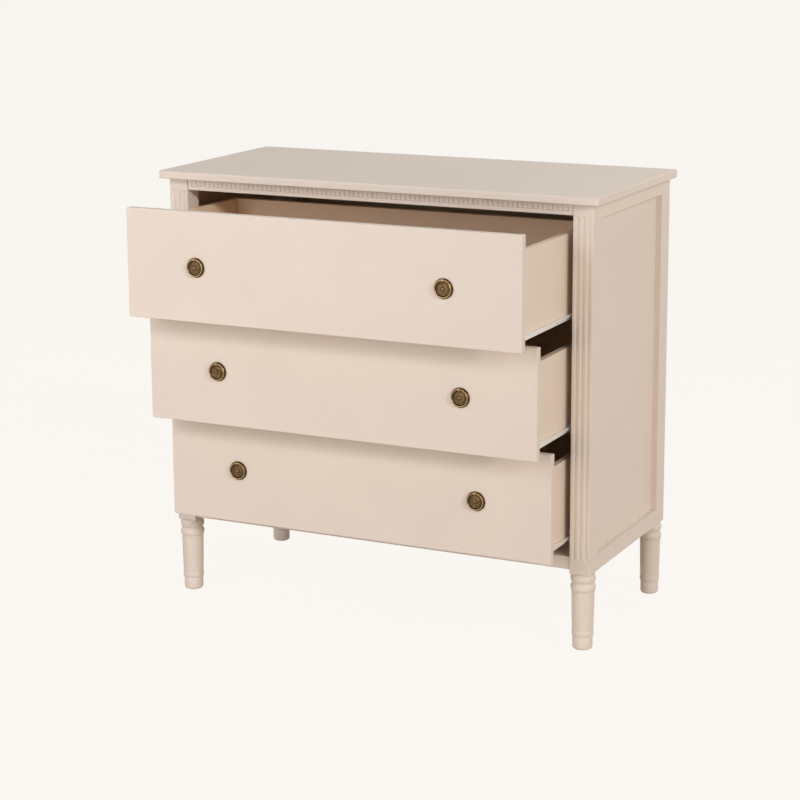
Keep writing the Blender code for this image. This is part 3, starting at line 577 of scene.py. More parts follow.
def brass_finishes():
    """The finish of the pulls."""
    colours = bpy.context.scene.chest_colours
    return {"brass": old_brass("old_brass", tuple(colours.brass), tuple(colours.patina))}


# Carcass


# Points from a flute's middle to its edge, and round the eased edge
FLUTE_POINTS = 10
FLUTE_EDGE_POINTS = 5


def flute_profile(radius, sunk, arris):
    """Distances from a flute's middle and its depth there.

    The hollow is part of a circle whose middle lies outside the face; a smaller circle touches it and the
    face to ease the edge.
    """
    lift = radius - sunk
    reach = radius + arris
    meet = np.arccos((arris + lift) / reach)
    hollow = np.linspace(0, meet, FLUTE_POINTS)
    turn = np.linspace(np.pi / 2 - meet, np.pi / 2, FLUTE_EDGE_POINTS)[1:]
    away = np.concatenate((radius * np.sin(hollow), reach * np.sin(meet) - arris * np.cos(turn)))
    depth = np.concatenate((radius * np.cos(hollow) - lift, arris * (1 - np.sin(turn))))
    return away, depth


def post_section(low, high, arris, joint_arris, side, middles, away):
    """The outline of a front post with extra points across each flute, as points and outward normals."""
    radii = [arris, arris, joint_arris, arris] if side > 0 else [arris, arris, arris, joint_arris]
    points, normals = rounded_outline(rectangle(low, high), radii)
    across = np.concatenate([middle + np.concatenate((-away[:0:-1], away)) for middle in middles])
    face = np.stack((across, np.full_like(across, low[1])), -1)
    start = len(points) // 4
    points = np.concatenate((points[:start], face, points[start:]))
    normals = np.concatenate((normals[:start], np.tile((0.0, -1.0), (len(face), 1)), normals[start:]))
    return points, normals


def fluted_post(side_name, side, sizes):
    """A front post: its outline carried up along Z, pushed in by the flutes' depth.

    The depth depends on the distance to a flute's middle line, and past the line's ends on the distance to
    its end point, so each flute ends in a hollow quarter ball.
    """
    low, high = corners_of(f"front_post_{side_name}")
    away, depth = flute_profile(sizes.flute_radius, sizes.flute_depth, sizes.flute_arris)
    middles = (low[0] + high[0]) / 2 + np.array((-1, 0, 1)) * sizes.flute_pitch
    section, normals = post_section(
        low[:2], high[:2], sizes.arris, sizes.joint_arris, side, middles, away
    )
    edge = away[-1]
    foot = low[2] + sizes.flute_rise + edge
    head = corners_of("front_top_rail")[0][2] - edge
    places, insets = eased_span(low[2], high[2], sizes.arris)
    half = len(places) // 2
    heights = np.concatenate((places[:half], foot - away[::-1], head + away, places[half:]))
    drawn = np.concatenate((insets[:half], np.zeros(2 * len(away)), insets[half:]))
    flat = section[None] - drawn[:, None, None] * normals[None]
    grid = np.concatenate((flat, np.broadcast_to(heights[:, None, None], flat.shape[:2] + (1,))), -1)
    past = np.maximum(0, np.maximum(foot - grid[..., 2], grid[..., 2] - head))
    on_face = (np.abs(section[:, 1] - low[1]) < DOUBLES) & (np.abs(normals[:, 1] + 1) < DOUBLES)
    beside = np.abs(grid[..., 0, None] - middles).min(-1)
    sunk = np.interp(np.hypot(beside, past), away, depth, right=0)
    grid[..., 1] += np.where(on_face[None], sunk, 0)
    return loft(grid)


def rebated_post(side_name, side, sizes):
    """A rear post: a square outline with a step at its inner rear corner for the back panel."""
    low, high = corners_of(f"rear_post_{side_name}")
    panel_low, panel_high = corners_of("back_panel")
    seat = panel_low[1] - (high[1] - panel_high[1])
    step = panel_high[0] + (panel_low[1] - seat)
    outer, inner = (high[0], low[0]) if side > 0 else (low[0], high[0])
    outline = [
        (outer, low[1]),
        (outer, high[1]),
        (side * step, high[1]),
        (side * step, seat),
        (inner, seat),
        (inner, low[1]),
    ]
    radii = [sizes.joint_arris, sizes.arris, *[sizes.joint_arris] * 4]
    if side < 0:
        outline, radii = outline[::-1], radii[::-1]
    return bar(outline, radii, (low[2], high[2]), sizes.arris, "z")


# Radii and heights of the front legs' turning, and how slim the rear legs are beside them
LEG = SimpleNamespace(
    shoulder_gap=0.0003,
    top=0.0208,
    top_band=0.0035,
    ring=0.0233,
    ring_height=0.0120,
    neck=0.0211,
    neck_height=0.0055,
    neck_hollow=0.0004,
    collar=0.0216,
    collar_height=0.0015,
    collar_rounding=0.0006,
    collar_middle=0.0007,
    shaft_top=0.0212,
    shaft_low=0.0196,
    swell=0.0002,
    ring_points=15,
    neck_points=9,
    shaft_points=13,
    ankle_points=13,
    ankle_ring=0.0203,
    ankle_ring_height=0.0100,
    ankle_gap=0.0020,
    foot=0.0187,
    foot_height=0.0240,
    foot_step=0.0004,
    foot_step_height=0.0008,
    foot_rounding=0.0055,
)
REAR_LEG_SHARE = 0.93


def half_round(base, peak, top, height, count):
    """A ring's outline down from its top: half an ellipse that stands out from a base radius to its peak."""
    angle = np.linspace(0, np.pi, count)
    return np.stack((base + (peak - base) * np.sin(angle), top - height / 2 * (1 - np.cos(angle))), -1)


def leg_profile(post_foot):
    """The turned outline of a leg, from its shoulder down to the floor, as (radius, height).

    The rings are half ellipses, the neck between the upper two is a shallow hollow, the shaft tapers with a
    slight swell, and the foot ends in a quarter circle. Further points on the flats beside an edge keep the
    flats' own shading.
    """
    shoulder = post_foot - LEG.shoulder_gap
    upper_ring = post_foot - LEG.top_band
    neck = upper_ring - LEG.ring_height
    lower_ring = neck - LEG.neck_height
    collar = lower_ring - LEG.ring_height
    shaft = collar - LEG.collar_height
    foot_top = LEG.foot_height
    ankle = foot_top + LEG.ankle_gap + LEG.ankle_ring_height
    collar_centre = (LEG.collar - LEG.collar_rounding, collar - LEG.collar_middle)
    down = np.linspace(0, 1, LEG.neck_points)[1:-1]
    along = np.linspace(0, 1, LEG.shaft_points)
    dip = LEG.neck - LEG.neck_hollow * np.sin(down * np.pi)
    taper = LEG.shaft_top + (LEG.shaft_low - LEG.shaft_top) * along
    taper = taper + LEG.swell * np.sin(along * np.pi)
    foot, bend = LEG.foot, LEG.foot_rounding
    rows = (
        ((0, shoulder), (LEG.top * 0.9, shoulder), (LEG.top, shoulder)),
        half_round(LEG.neck, LEG.ring, upper_ring, LEG.ring_height, LEG.ring_points),
        np.stack((dip, neck - LEG.neck_height * down), -1),
        half_round(LEG.neck, LEG.ring, lower_ring, LEG.ring_height, LEG.ring_points),
        arc(collar_centre, LEG.collar_rounding, 90, -90, steps=6),
        np.stack((taper, shaft + (ankle - shaft) * along), -1),
        half_round(LEG.shaft_low, LEG.ankle_ring, ankle, LEG.ankle_ring_height, LEG.ankle_points),
        ((foot - LEG.foot_step, foot_top + LEG.foot_step_height), (foot, foot_top)),
        ((foot, bend * 1.6), (foot, bend * 1.2)),
        arc((foot - bend, bend), bend, 0, -90, steps=8),
        (((foot - bend) * 0.8, 0), (0, 0)),
    )
    return np.concatenate([np.asarray(row, float) for row in rows])


# Shares of a bead's width and height at which its face has points, how much lighter its paint is as painted
# light, and how the painted shade in the furrows fades up the bead: its share at the foot, its fall over the
# height and its least
ACROSS_SHARES = np.array((0.0, 0.05, 0.16, 0.32, 0.5, 0.68, 0.84, 0.95))
UP_SHARES = np.array((0.0, 0.05, 0.16, 0.34, 0.5, 0.66, 0.84, 0.95, 1.0))
BEAD_PAINTED_LIGHT = 1.09
FURROW_SHADE_FOOT = 1.15
FURROW_SHADE_FALL = 1.5
FURROW_SHADE_LEAST = 0.12


def pill(share, power, root):
    """How far a pill stands out at a share s of its width: the root of 1 - |2s - 1|^power."""
    return np.clip(1 - np.abs(2 * share - 1) ** power, 0, 1) ** (1 / root)


def bead_strip(sizes):
    """The bead moulding: at each place along X a closed section of the strip.

    Across a bead the face stands out by the square root of 1 - |2s - 1|^2.6, and up it by the fourth root of
    1 - |2t - 1|^6, which gives upright rounded pills with soft shallow furrows between them. The recess value
    is the square of how far the face falls back across a bead, and is greatest at the furrows' feet; it lays
    painted shade into the furrows.
    """
    low, high = corners_of("bead_moulding")
    number = np.arange(sizes.bead_count)[:, None] + ACROSS_SHARES[None]
    number = np.append(number.ravel(), sizes.bead_count)
    wide = pill(number - np.floor(number), 2.6, 2)
    tall = pill(UP_SHARES, 6, 4)
    back = low[1] + sizes.bead_rise
    face = back - (back - low[1]) * wide[:, None] * tall[None]
    ys = np.concatenate((face, np.full((len(number), 2), high[1])), -1)
    zs = low[2] + (high[2] - low[2]) * np.append(UP_SHARES, (1.0, 0.0))
    xs = low[0] + (high[0] - low[0]) * number / sizes.bead_count
    grid = np.stack(np.broadcast_arrays(xs[:, None], ys, zs[None]), -1)
    furrow_shade_fade = np.clip(FURROW_SHADE_FOOT - FURROW_SHADE_FALL * UP_SHARES, FURROW_SHADE_LEAST, 1)
    painted_furrow_shade = (1 - wide[:, None]) ** 2 * np.append(furrow_shade_fade, (0.0, 0.0))[None]
    return loft(grid)._replace(recess=painted_furrow_shade.ravel())


# The quirk is the fine groove along the top rail: its place up the rail's lower face, half its width, its
# depth and its rounding, and then the rounding of the ledge under the beads
QUIRK_RISE_SHARE = 0.42
QUIRK_REACH = 0.0006
QUIRK_DEPTH = 0.0004
QUIRK_ROUNDING = 0.0002
LEDGE_ROUNDING = 0.0006


def top_rail(sizes):
    """The front top rail between the posts: its section carried along X, with the rebate and a fine quirk."""
    low, high = corners_of("front_top_rail")
    strip_low, strip_high = corners_of("bead_moulding")
    end = strip_high[0]
    seat = strip_high[1] + sizes.joint_arris
    ledge = strip_low[2] - sizes.joint_arris
    quirk = low[2] + (ledge - low[2]) * QUIRK_RISE_SHARE
    face = low[1]
    outline = [
        (face, low[2]),
        (high[1], low[2]),
        (high[1], high[2]),
        (seat, high[2]),
        (seat, ledge),
        (face, ledge),
        (face, quirk + QUIRK_REACH),
        (face + QUIRK_DEPTH, quirk),
        (face, quirk - QUIRK_REACH),
    ]
    radii = [sizes.arris, *[sizes.joint_arris] * 4, LEDGE_ROUNDING, *[QUIRK_ROUNDING] * 3]
    return bar(outline, radii, (-end, end), sizes.joint_arris, "x")


def rail_span(node, shoulders, axis):
    """A rail's box, cut back along an axis from its tenons' ends to its shoulders."""
    low, high = corners_of(node)
    low[AXES[axis]], high[AXES[axis]] = shoulders
    return low, high


# Corner radii, as shares of the rounding beside them: of the fronts and the side panels of their own edges,
# and of the drawer boxes of the carcass's arrises
FRONT_CORNER_SHARE = 1.4
PANEL_CORNER_SHARE = 2
BOX_ARRIS_SHARE = 0.7


class ChestOperator:
    """What the operators of this chest share."""

    bl_options = {"REGISTER", "UNDO"}

    @property
    def sizes(self):
        """The sizes that a user can change."""
        return bpy.context.scene.chest_sizes

    @property
    def colours(self):
        """The colours that a user can change."""
        return bpy.context.scene.chest_colours


class CHEST_OT_top_board(ChestOperator, bpy.types.Operator):
    """Make the overhanging top board"""

    bl_idname = "chest.top_board"
    bl_label = "Top Board"

    def execute(self, context):
        corner, edge = self.sizes.top_corner, self.sizes.top_edge
        make_painted("top_board", board(*corners_of("top_board"), "z", corner, edge, steps=8), "x")
        return {"FINISHED"}


class CHEST_OT_posts(ChestOperator, bpy.types.Operator):
    """Make the fluted front posts and the rebated rear posts"""

    bl_idname = "chest.posts"
    bl_label = "Posts"

    def execute(self, context):
        for side_name, side in SIDES:
            for end, shape in (("front", fluted_post), ("rear", rebated_post)):
                node = f"{end}_post_{side_name}"
                make_painted(node, shape(side_name, side, self.sizes), "z")
        return {"FINISHED"}


class CHEST_OT_legs(ChestOperator, bpy.types.Operator):
    """Make the four turned legs"""

    bl_idname = "chest.legs"
    bl_label = "Legs"

    def execute(self, context):
        for end, share in (("front", 1.0), ("rear", REAR_LEG_SHARE)):
            for side_name, _ in SIDES:
                node = f"{end}_leg_{side_name}"
                low, high = corners_of(node)
                foot = corners_of(f"{end}_post_{side_name}")[0][2]
                place = Matrix.Translation(((low[0] + high[0]) / 2, (low[1] + high[1]) / 2, low[2]))
                profile = leg_profile(foot) * (share, 1)
                make_painted(node, turned(profile, place, sides=72), "z")
        return {"FINISHED"}


class CHEST_OT_rails(ChestOperator, bpy.types.Operator):
    """Make the front rails, the side rails and the bead moulding"""

    bl_idname = "chest.rails"
    bl_label = "Rails and Beads"

    def execute(self, context):
        sizes = self.sizes
        make_painted("front_top_rail", top_rail(sizes), "x", "top_rail")
        tone, furrow_painted_shade = tuple(self.colours.paint), tuple(self.colours.furrow_painted_shade)
        # The beads' lighter paint is painted light against the overhang's shadow, and the furrow colour is
        # painted shade
        beaded = {"paint": paint("bead_paint", tinted(tone, BEAD_PAINTED_LIGHT), "x", furrow_painted_shade)}
        make_piece("painted_beads", [bead_strip(sizes)], beaded, ["bead_moulding"])
        strip_low, strip_high = corners_of("bead_moulding")
        span = rail_span("front_bottom_rail", (strip_low[0], strip_high[0]), "x")
        shell = board(*span, "x", sizes.arris, sizes.joint_arris)
        make_painted("front_bottom_rail", shell, "x", "bottom_rail")
        for side_name, _ in SIDES:
            front = corners_of(f"front_post_{side_name}")[1][1] + sizes.joint_arris
            rear = corners_of(f"rear_post_{side_name}")[0][1] - sizes.joint_arris
            for level in ("upper", "lower"):
                node = f"side_{level}_rail_{side_name}"
                span = rail_span(node, (front, rear), "y")
                make_painted(node, board(*span, "y", sizes.arris, sizes.joint_arris), "y")
        return {"FINISHED"}


class CHEST_OT_panels(ChestOperator, bpy.types.Operator):
    """Make the side panels, and finish the back and the rear rails"""

    bl_idname = "chest.panels"
    bl_label = "Panels and Back"

    def execute(self, context):
        ease = self.sizes.joint_arris
        # The side panels' inner faces take painted shade
        tone, inside = tuple(self.colours.paint), tuple(self.colours.case_inside_painted_shade)
        finishes = {"paint": paint("panel_paint", tone, "z", inside)}
        for side_name, _ in SIDES:
            node = f"side_panel_{side_name}"
            shell = two_sided(board(*corners_of(node), "x", ease * PANEL_CORNER_SHARE, ease), node)
            make_piece(f"painted_{node}", [shell], finishes, [node])
        kept = {
            "back_panel": thin_board("thin_board", tuple(self.colours.board)),
            "rear_top_rail": paint_finishes("x")["paint"],
            "rear_bottom_rail": paint_finishes("x")["paint"],
        }
        for node, finish in kept.items():
            for slot in frame["nodes"][node].material_slots:
                slot.material = finish
        return {"FINISHED"}


# Drawers and slides


class CHEST_OT_drawer_fronts(ChestOperator, bpy.types.Operator):
    """Make the three slab fronts"""

    bl_idname = "chest.drawer_fronts"
    bl_label = "Drawer Fronts"

    def execute(self, context):
        ease = self.sizes.front_edge
        for drawer in DRAWERS:
            node = f"{drawer}_front"
            shell = board(*corners_of(node), "y", ease * FRONT_CORNER_SHARE, ease, steps=5)
            make_painted(node, shell, "x")
        return {"FINISHED"}


class CHEST_OT_drawer_boxes(ChestOperator, bpy.types.Operator):
    """Make the sides, backs and bottoms of the drawers"""

    bl_idname = "chest.drawer_boxes"
    bl_label = "Drawer Boxes"

    def execute(self, context):
        corner, edge = self.sizes.arris * BOX_ARRIS_SHARE, self.sizes.joint_arris
        # The boxes' inner faces take painted warm shade
        tone, inside = tuple(self.colours.box_paint), tuple(self.colours.box_inside_painted_shade)
        finishes = {axis: {"paint": paint(f"box_paint_{axis}", tone, axis, inside)} for axis in "yx"}
        sheet = {"board": thin_board("thin_board", tuple(self.colours.board))}
        for drawer in DRAWERS:
            for part, axis in (("side_left", "y"), ("side_right", "y"), ("back", "x")):
                node = f"{drawer}_{part}"
                shell = two_sided(board(*corners_of(node), axis, corner, edge), node)
                make_piece(f"finished_{node}", [shell], finishes[axis], [node])
            node = f"{drawer}_bottom"
            shell = board(*corners_of(node), "y", edge, edge)
            make_piece(f"finished_{node}", [shell], sheet, [node])
        return {"FINISHED"}


# The runners' bent steel: its foot under the drawer side, its wall with a crease, and its lip, which lifts
# towards the front; the wall from the crease up under the lip carries painted shade. The shares are of the
# steel's thickness or of a slide's screw head
RUNNER = SimpleNamespace(
    steel=0.0012,
    gap=0.0003,
    foot=0.011,
    lip=0.006,
    lip_share=0.8,
    hem=0.0024,
    crease=0.0028,
    crease_width=0.0026,
    crease_depth=0.0007,
    crease_start=1.2,
    crease_painted_shade=0.9,
    lift=0.0065,
    lift_reach=0.060,
    lift_points=25,
    rounding_share=0.25,
    screw_share=0.8,
    screw_level=0.0035,
)
# The slides' channels and the raised stops in them
SLIDE = SimpleNamespace(
    flange=0.0085,
    rounding_share=0.3,
    stop_start=0.048,
    stop_end=0.057,
    stop_rise=0.0025,
    stop_sunk=0.0004,
    stop_corner=0.0008,
    stop_edge=0.0004,
)
# The rollers: lengths, then the tread's share of the width, shares of the radius, the well's level as a share
# of half the width, the pin's share of the radius, the collar's of the pin, and how far the collar rises
ROLLER = SimpleNamespace(
    radius=0.0085,
    width=0.006,
    inset=0.012,
    wall_gap=0.0016,
    lip_gap=0.0004,
    tread_share=0.12,
    hub=0.45,
    well_start=0.5,
    well_end=0.8,
    well_edge=0.84,
    well_level=0.86,
    pin=0.29,
    collar=1.5,
    collar_rise=0.0004,
    crown_rise=0.0007,
)
# The screw heads, as shares of their radius or rise, and the angles between which the dome is an arc
SCREW = SimpleNamespace(
    rise=0.55,
    rim=0.45,
    dome=1.2,
    dome_start=58,
    dome_end=82,
    well=0.14,
    well_edge=0.5,
)
# How far each screw sits behind the front end of its runner or slide
RUNNER_SCREWS = (0.072, 0.162, 0.260)
SLIDE_SCREWS = (0.110, 0.190, 0.300)


def roller_shells(side, place, post):
    """A roller with a ring sunk in both faces, and its pin, which bears a collar and ends at the height post.

    The tyre's outline runs from the axis out over one face and round the tread's quarter circle to the
    middle, and then back along its mirror image. Its axis lies along X.
    """
    radius, half = ROLLER.radius, ROLLER.width / 2
    ease = ROLLER.width * ROLLER.tread_share
    sunk = half * ROLLER.well_level
    face = (
        (0, -half),
        (radius * ROLLER.hub, -half),
        (radius * ROLLER.well_start, -sunk),
        (radius * ROLLER.well_end, -sunk),
        (radius * ROLLER.well_edge, -half),
        (radius - 2 * ease, -half),
    )
    face = np.concatenate((face, arc((radius - ease, -half + ease), ease, -90, 0, steps=4)))
    tyre = np.concatenate((face, (face * (1, -1))[::-1]))
    pin = radius * ROLLER.pin
    collar = pin * ROLLER.collar
    axle = (
        (0, -half - ROLLER.crown_rise),
        (collar, -half - ROLLER.collar_rise),
        (collar, -half),
        (pin, -half),
        (pin, post),
        (0, post),
    )
    matrix = along_x(side, place)
    return [turned(tyre, matrix, sides=40, finish="roller"), turned(axle, matrix, sides=20, finish="zinc")]


def screw_shells(side, place, radius):
    """A pan-head screw: a low dome with a round well in its middle, which faces along X to one side."""
    rise, bend = radius * SCREW.rise, radius * SCREW.dome
    dome = arc((0, rise - bend), bend, SCREW.dome_start, SCREW.dome_end, steps=8)
    rim = rise * SCREW.rim
    well = ((radius * SCREW.well, rise * SCREW.well_edge), (0, rim))
    profile = np.concatenate((((0, 0), (radius, 0), (radius, rim)), dome, well))
    return [turned(profile, along_x(side, place), sides=24, finish="zinc")]


def lip_height(along, lift, reach):
    """The rise of a runner's lip towards its front: the lift times (1 - s) squared, none past the reach."""
    return lift * np.clip(1 - along / reach, 0, 1) ** 2


def runner_wall(drawer, side_name, side):
    """How far from the chest's middle a runner's wall begins and ends, just outside the drawer side."""
    low, high = corners_of(f"{drawer}_side_{side_name}")
    inner = (high[0] if side > 0 else -low[0]) + RUNNER.gap
    return inner, inner + RUNNER.steel


def runner_shell(drawer, side_name, side):
    """A runner: its bent section carried along Y, with the lip rising in a curve towards the front."""
    low, high = corners_of(f"{drawer}_runner_{side_name}")
    steel = RUNNER.steel
    inner, outer = runner_wall(drawer, side_name, side)
    foot = corners_of(f"{drawer}_side_{side_name}")[0][2] - RUNNER.gap
    reach = RUNNER.lift_reach
    stations = np.concatenate((np.linspace(0, reach, RUNNER.lift_points), (high[1] - low[1],)))
    top = high[2] - RUNNER.lift + lip_height(stations, RUNNER.lift, reach)
    level = np.ones_like(stations)
    tip, drop = outer + RUNNER.lip, RUNNER.hem
    back = tip - steel * RUNNER.lip_share
    crease, width = RUNNER.crease, RUNNER.crease_width
    section = (
        (inner - RUNNER.foot, (foot - steel) * level),
        (outer, (foot - steel) * level),
        (outer, top - crease - width * RUNNER.crease_start),
        (outer, top - crease - width),
        (outer - RUNNER.crease_depth, top - crease - width / 2),
        (outer, top - crease),
        (outer, top - steel),
        (back, top - steel),
        (back, top - drop),
        (tip, top - drop),
        (tip, top),
        (inner, top),
        (inner, foot * level),
        (inner - RUNNER.foot, foot * level),
    )
    corners = np.stack([np.stack((x * level, z), -1) for x, z in section], 1)
    ease = steel * RUNNER.rounding_share
    radii = [ease, steel, 0, *[ease] * 8, steel, ease, ease]
    outline, _ = rounded_outline(corners, radii, steps=3)
    ys = np.broadcast_to((low[1] + stations)[:, None], outline.shape[:2])
    grid = np.insert(outline, 1, ys, axis=-1)
    grid[..., 0] *= side
    # Painted shade on the wall from the crease up under the lip
    painted_crease_shade = np.zeros((len(section), outline.shape[1] // len(section)))
    painted_crease_shade[3:8] = RUNNER.crease_painted_shade
    return loft(grid, finish="steel")._replace(recess=np.tile(painted_crease_shade.ravel(), len(grid)))


class CHEST_OT_runners(ChestOperator, bpy.types.Operator):
    """Make the runners under the drawer sides, with their rear rollers and screws"""

    bl_idname = "chest.runners"
    bl_label = "Runners"

    def execute(self, context):
        finishes = slide_finishes()
        beside = ROLLER.wall_gap + ROLLER.width / 2
        for drawer, side_name, side, node in drawer_pairs("runner"):
            low, high = corners_of(node)
            outer = runner_wall(drawer, side_name, side)[1]
            place = (side * (outer + beside), high[1] - ROLLER.inset, low[2] + ROLLER.radius)
            shells = [runner_shell(drawer, side_name, side), *roller_shells(side, place, -beside)]
            level = corners_of(f"{drawer}_side_{side_name}")[0][2] + RUNNER.screw_level
            for along in RUNNER_SCREWS:
                place = (side * outer, low[1] + along, level)
                shells += screw_shells(side, place, self.sizes.screw_head * RUNNER.screw_share)
            make_piece(f"finished_{node}", shells, finishes, [node])
        return {"FINISHED"}


def channel_shell(node, side):
    """A slide's C section carried along Y, and how far its web's inner face is from the chest's middle."""
    low, high = corners_of(node)
    steel = RUNNER.steel
    web = high[0] if side > 0 else -low[0]
    tip = web - SLIDE.flange
    inner = web - steel
    outline = np.array(
        (
            (tip, low[2]),
            (web, low[2]),
            (web, high[2]),
            (tip, high[2]),
            (tip, high[2] - steel),
            (inner, high[2] - steel),
            (inner, low[2] + steel),
            (tip, low[2] + steel),
        )
    )
    ease = steel * SLIDE.rounding_share
    radii = [ease, steel, steel, *[ease] * 5]
    if side < 0:
        outline = (outline * (-1, 1))[::-1]
        radii = radii[::-1]
    return bar(outline, radii, (low[1], high[1]), ease, "y", "steel", steps=3), inner


def stop_shell(near, inner, front, channel, side):
    """The raised stop on a channel's floor behind its roller, between the runner and the web."""
    sunk = SLIDE.stop_sunk
    low = np.array((near, front + SLIDE.stop_start, channel - sunk))
    high = np.array((inner + sunk, front + SLIDE.stop_end, channel + SLIDE.stop_rise))
    if side < 0:
        low[0], high[0] = -high[0], -low[0]
    return board(low, high, "y", SLIDE.stop_corner, SLIDE.stop_edge, "steel")


class CHEST_OT_slides(ChestOperator, bpy.types.Operator):
    """Make the fixed slides, with their front rollers, stops and screws"""

    bl_idname = "chest.slides"
    bl_label = "Slides"

    def execute(self, context):
        finishes = slide_finishes()
        steel = RUNNER.steel
        for drawer, side_name, side, node in drawer_pairs("slide"):
            low, high = corners_of(node)
            shell, inner = channel_shell(node, side)
            near = runner_wall(drawer, side_name, side)[1] + ROLLER.wall_gap
            middle = near + ROLLER.width / 2
            lip = corners_of(f"{drawer}_runner_{side_name}")[1][2] - RUNNER.lift - steel
            level = lip - ROLLER.lip_gap - ROLLER.radius
            place = (side * middle, low[1] + ROLLER.inset, level)
            shells = [shell, *roller_shells(-side, place, middle - inner)]
            shells.append(stop_shell(near, inner, low[1], low[2] + steel, side))
            for along in SLIDE_SCREWS:
                place = (side * inner, low[1] + along, (low[2] + high[2]) / 2)
                shells += screw_shells(-side, place, self.sizes.screw_head)
            make_piece(f"finished_{node}", shells, finishes, [node])
        return {"FINISHED"}


# The pulls' plates with their eyes and studs, and the rings' radius and distance from the drawer front. The
# shares are of the plate's radius, the crown, the eye, half the eye's width and the stud
PLATE = SimpleNamespace(
    back=0.0003,
    radius=0.0185,
    back_share=0.98,
    rim=0.0179,
    flat=0.0130,
    flat_height=0.0022,
    dish=0.0118,
    dish_height=0.0036,
    step=0.0094,
    step_height=0.0030,
    floor=0.0052,
    floor_height=0.0034,
    button=0.0032,
    shoulder_height=0.0052,
    crown=0.0018,
    button_height=0.0062,
    crown_share=0.5,
    crown_fall=0.00003,
    ring=0.0152,
    standoff=0.0048,
    eye=0.0033,
    hole=0.00185,
    eye_width=0.0040,
    eye_rounding=0.0005,
    eye_foot_share=0.8,
    eye_foot_width_share=0.9,
    eye_foot_sunk=0.0004,
    eye_foot_gap=0.0002,
    eye_foot_corner=0.0006,
    eye_foot_edge=0.0003,
    stud=0.0020,
    stud_past=0.0060,
    stud_tip_share=0.8,
    stud_chamfer=0.0005,
    stud_start=0.0008,
)
# The plate's face from its rim to its crown: a radius and a step out from it, a height and a step up from
# it, and how deep in a hollow the point lies
PLATE_FACE = (
    ("rim", 0, "rim_height", 0, 0.45),
    ("rim", -0.0006, "rim_height", -0.0002, 0.70),
    ("rim", -0.0012, "rim_height", -0.0003, 0.95),
    ("flat", 0.0008, "flat_height", -0.0003, 1.00),
    ("flat", 0, "flat_height", -0.0002, 1.00),
    ("dish", 0.0005, "dish_height", -0.0006, 0.95),
    ("dish", 0, "dish_height", 0, 0.55),
    ("dish", -0.0007, "dish_height", -0.0001, 0.60),
    ("dish", -0.0013, "dish_height", -0.0005, 0.85),
    ("step", 0.0002, "step_height", -0.0002, 0.90),
    ("step", -0.0004, "step_height", 0.0002, 0.62),
    ("step", -0.0012, "step_height", 0.0003, 0.60),
    ("floor", 0.0018, "floor_height", -0.0004, 0.80),
    ("floor", 0.0008, "floor_height", -0.0001, 0.62),
    ("floor", 0, "floor_height", 0, 0.60),
    ("button", 0.0004, "floor_height", -0.0001, 0.95),
    ("button", 0, "floor_height", 0.0003, 0.85),
    ("button", 0, "shoulder_height", -0.0004, 0.60),
    ("button", -0.0004, "shoulder_height", 0.0003, 0.55),
    ("crown", 0, "button_height", -0.0002, 0.50),
)


def plate_profile(rim):
    """The pressed plate's outline from its back to its button, with how deep in a hollow each row lies.

    Knots are joined by straight legs, whose corners are then cut twice.
    """
    size = {**vars(PLATE), "rim_height": rim}
    back, top = PLATE.back, PLATE.button_height
    edge = (
        (0.0, back, 0.5),
        (PLATE.radius * PLATE.back_share, back, 0.5),
        (PLATE.radius, rim * 0.35, 0.70),
        (PLATE.radius, rim * 0.65, 0.60),
    )
    face = [(size[ring] + out, size[level] + up, hollow) for ring, out, level, up, hollow in PLATE_FACE]
    crown = ((PLATE.crown * PLATE.crown_share, top - PLATE.crown_fall, 0.50), (0.0, top, 0.50))
    return softened(np.array((*edge, *face, *crown)), rounds=2)


def softened(knots, rounds):
    """A profile with its corners cut: each round puts points at a quarter and three quarters of every leg."""
    for _ in range(rounds):
        near = knots[:-1] * 0.75 + knots[1:] * 0.25
        far = knots[:-1] * 0.25 + knots[1:] * 0.75
        middle = np.stack((near, far), 1).reshape(-1, knots.shape[1])
        knots = np.concatenate((knots[:1], middle, knots[-1:]))
    return knots


def round_loop(loop_radius, section, sides):
    """A closed section carried round a circle in the local XY plane, whose rows close on each other.

    The section gives (distance out from the circle, height above its plane) round its own outline.
    """
    angle = np.linspace(0, 2 * np.pi, sides, endpoint=False)
    out = np.stack((np.cos(angle), np.sin(angle), np.zeros_like(angle)), -1)
    grid = (loop_radius + section[:, 0])[None, :, None] * out[:, None, :]
    grid[..., 2] += section[None, :, 1]
    return loft(grid, ring=True)


def turned_shell(shell, place):
    """A shell carried by a matrix."""
    return shell._replace(points=moved(shell.points, place))


def eye_shells(place):
    """The eye at 12 o'clock: a short tube round the hinge line on a square foot, in the plate's space."""
    half, ring = PLATE.eye_width / 2, PLATE.ring
    corners = rectangle((PLATE.hole, -half), (PLATE.eye, half))
    section, _ = rounded_outline(corners, PLATE.eye_rounding, steps=3)
    tube = round_loop(0.0, section, sides=28)
    upright = Matrix.Translation((0, ring, PLATE.standoff)) @ Matrix.Rotation(np.pi / 2, 4, "Y")
    reach = PLATE.eye * PLATE.eye_foot_share
    wide = half * PLATE.eye_foot_width_share
    foot_top = PLATE.standoff - PLATE.hole - PLATE.eye_foot_gap
    foot_low = np.array((-wide, ring - reach, PLATE.back + PLATE.eye_foot_sunk))
    foot_high = np.array((wide, ring + reach, foot_top))
    foot = board(foot_low, foot_high, "z", PLATE.eye_foot_corner, PLATE.eye_foot_edge)
    return [turned_shell(turned_shell(tube, upright), place), turned_shell(foot, place)]


def stud_shell(place, end):
    """The stud behind a plate: a pin with a chamfered tip, which ends at a height in the plate's space."""
    radius, start = PLATE.stud, PLATE.stud_start
    profile = (
        (0, end),
        (radius * PLATE.stud_tip_share, end),
        (radius, end + PLATE.stud_chamfer),
        (radius, start),
        (0, start),
    )
    return turned(profile, place, sides=16)


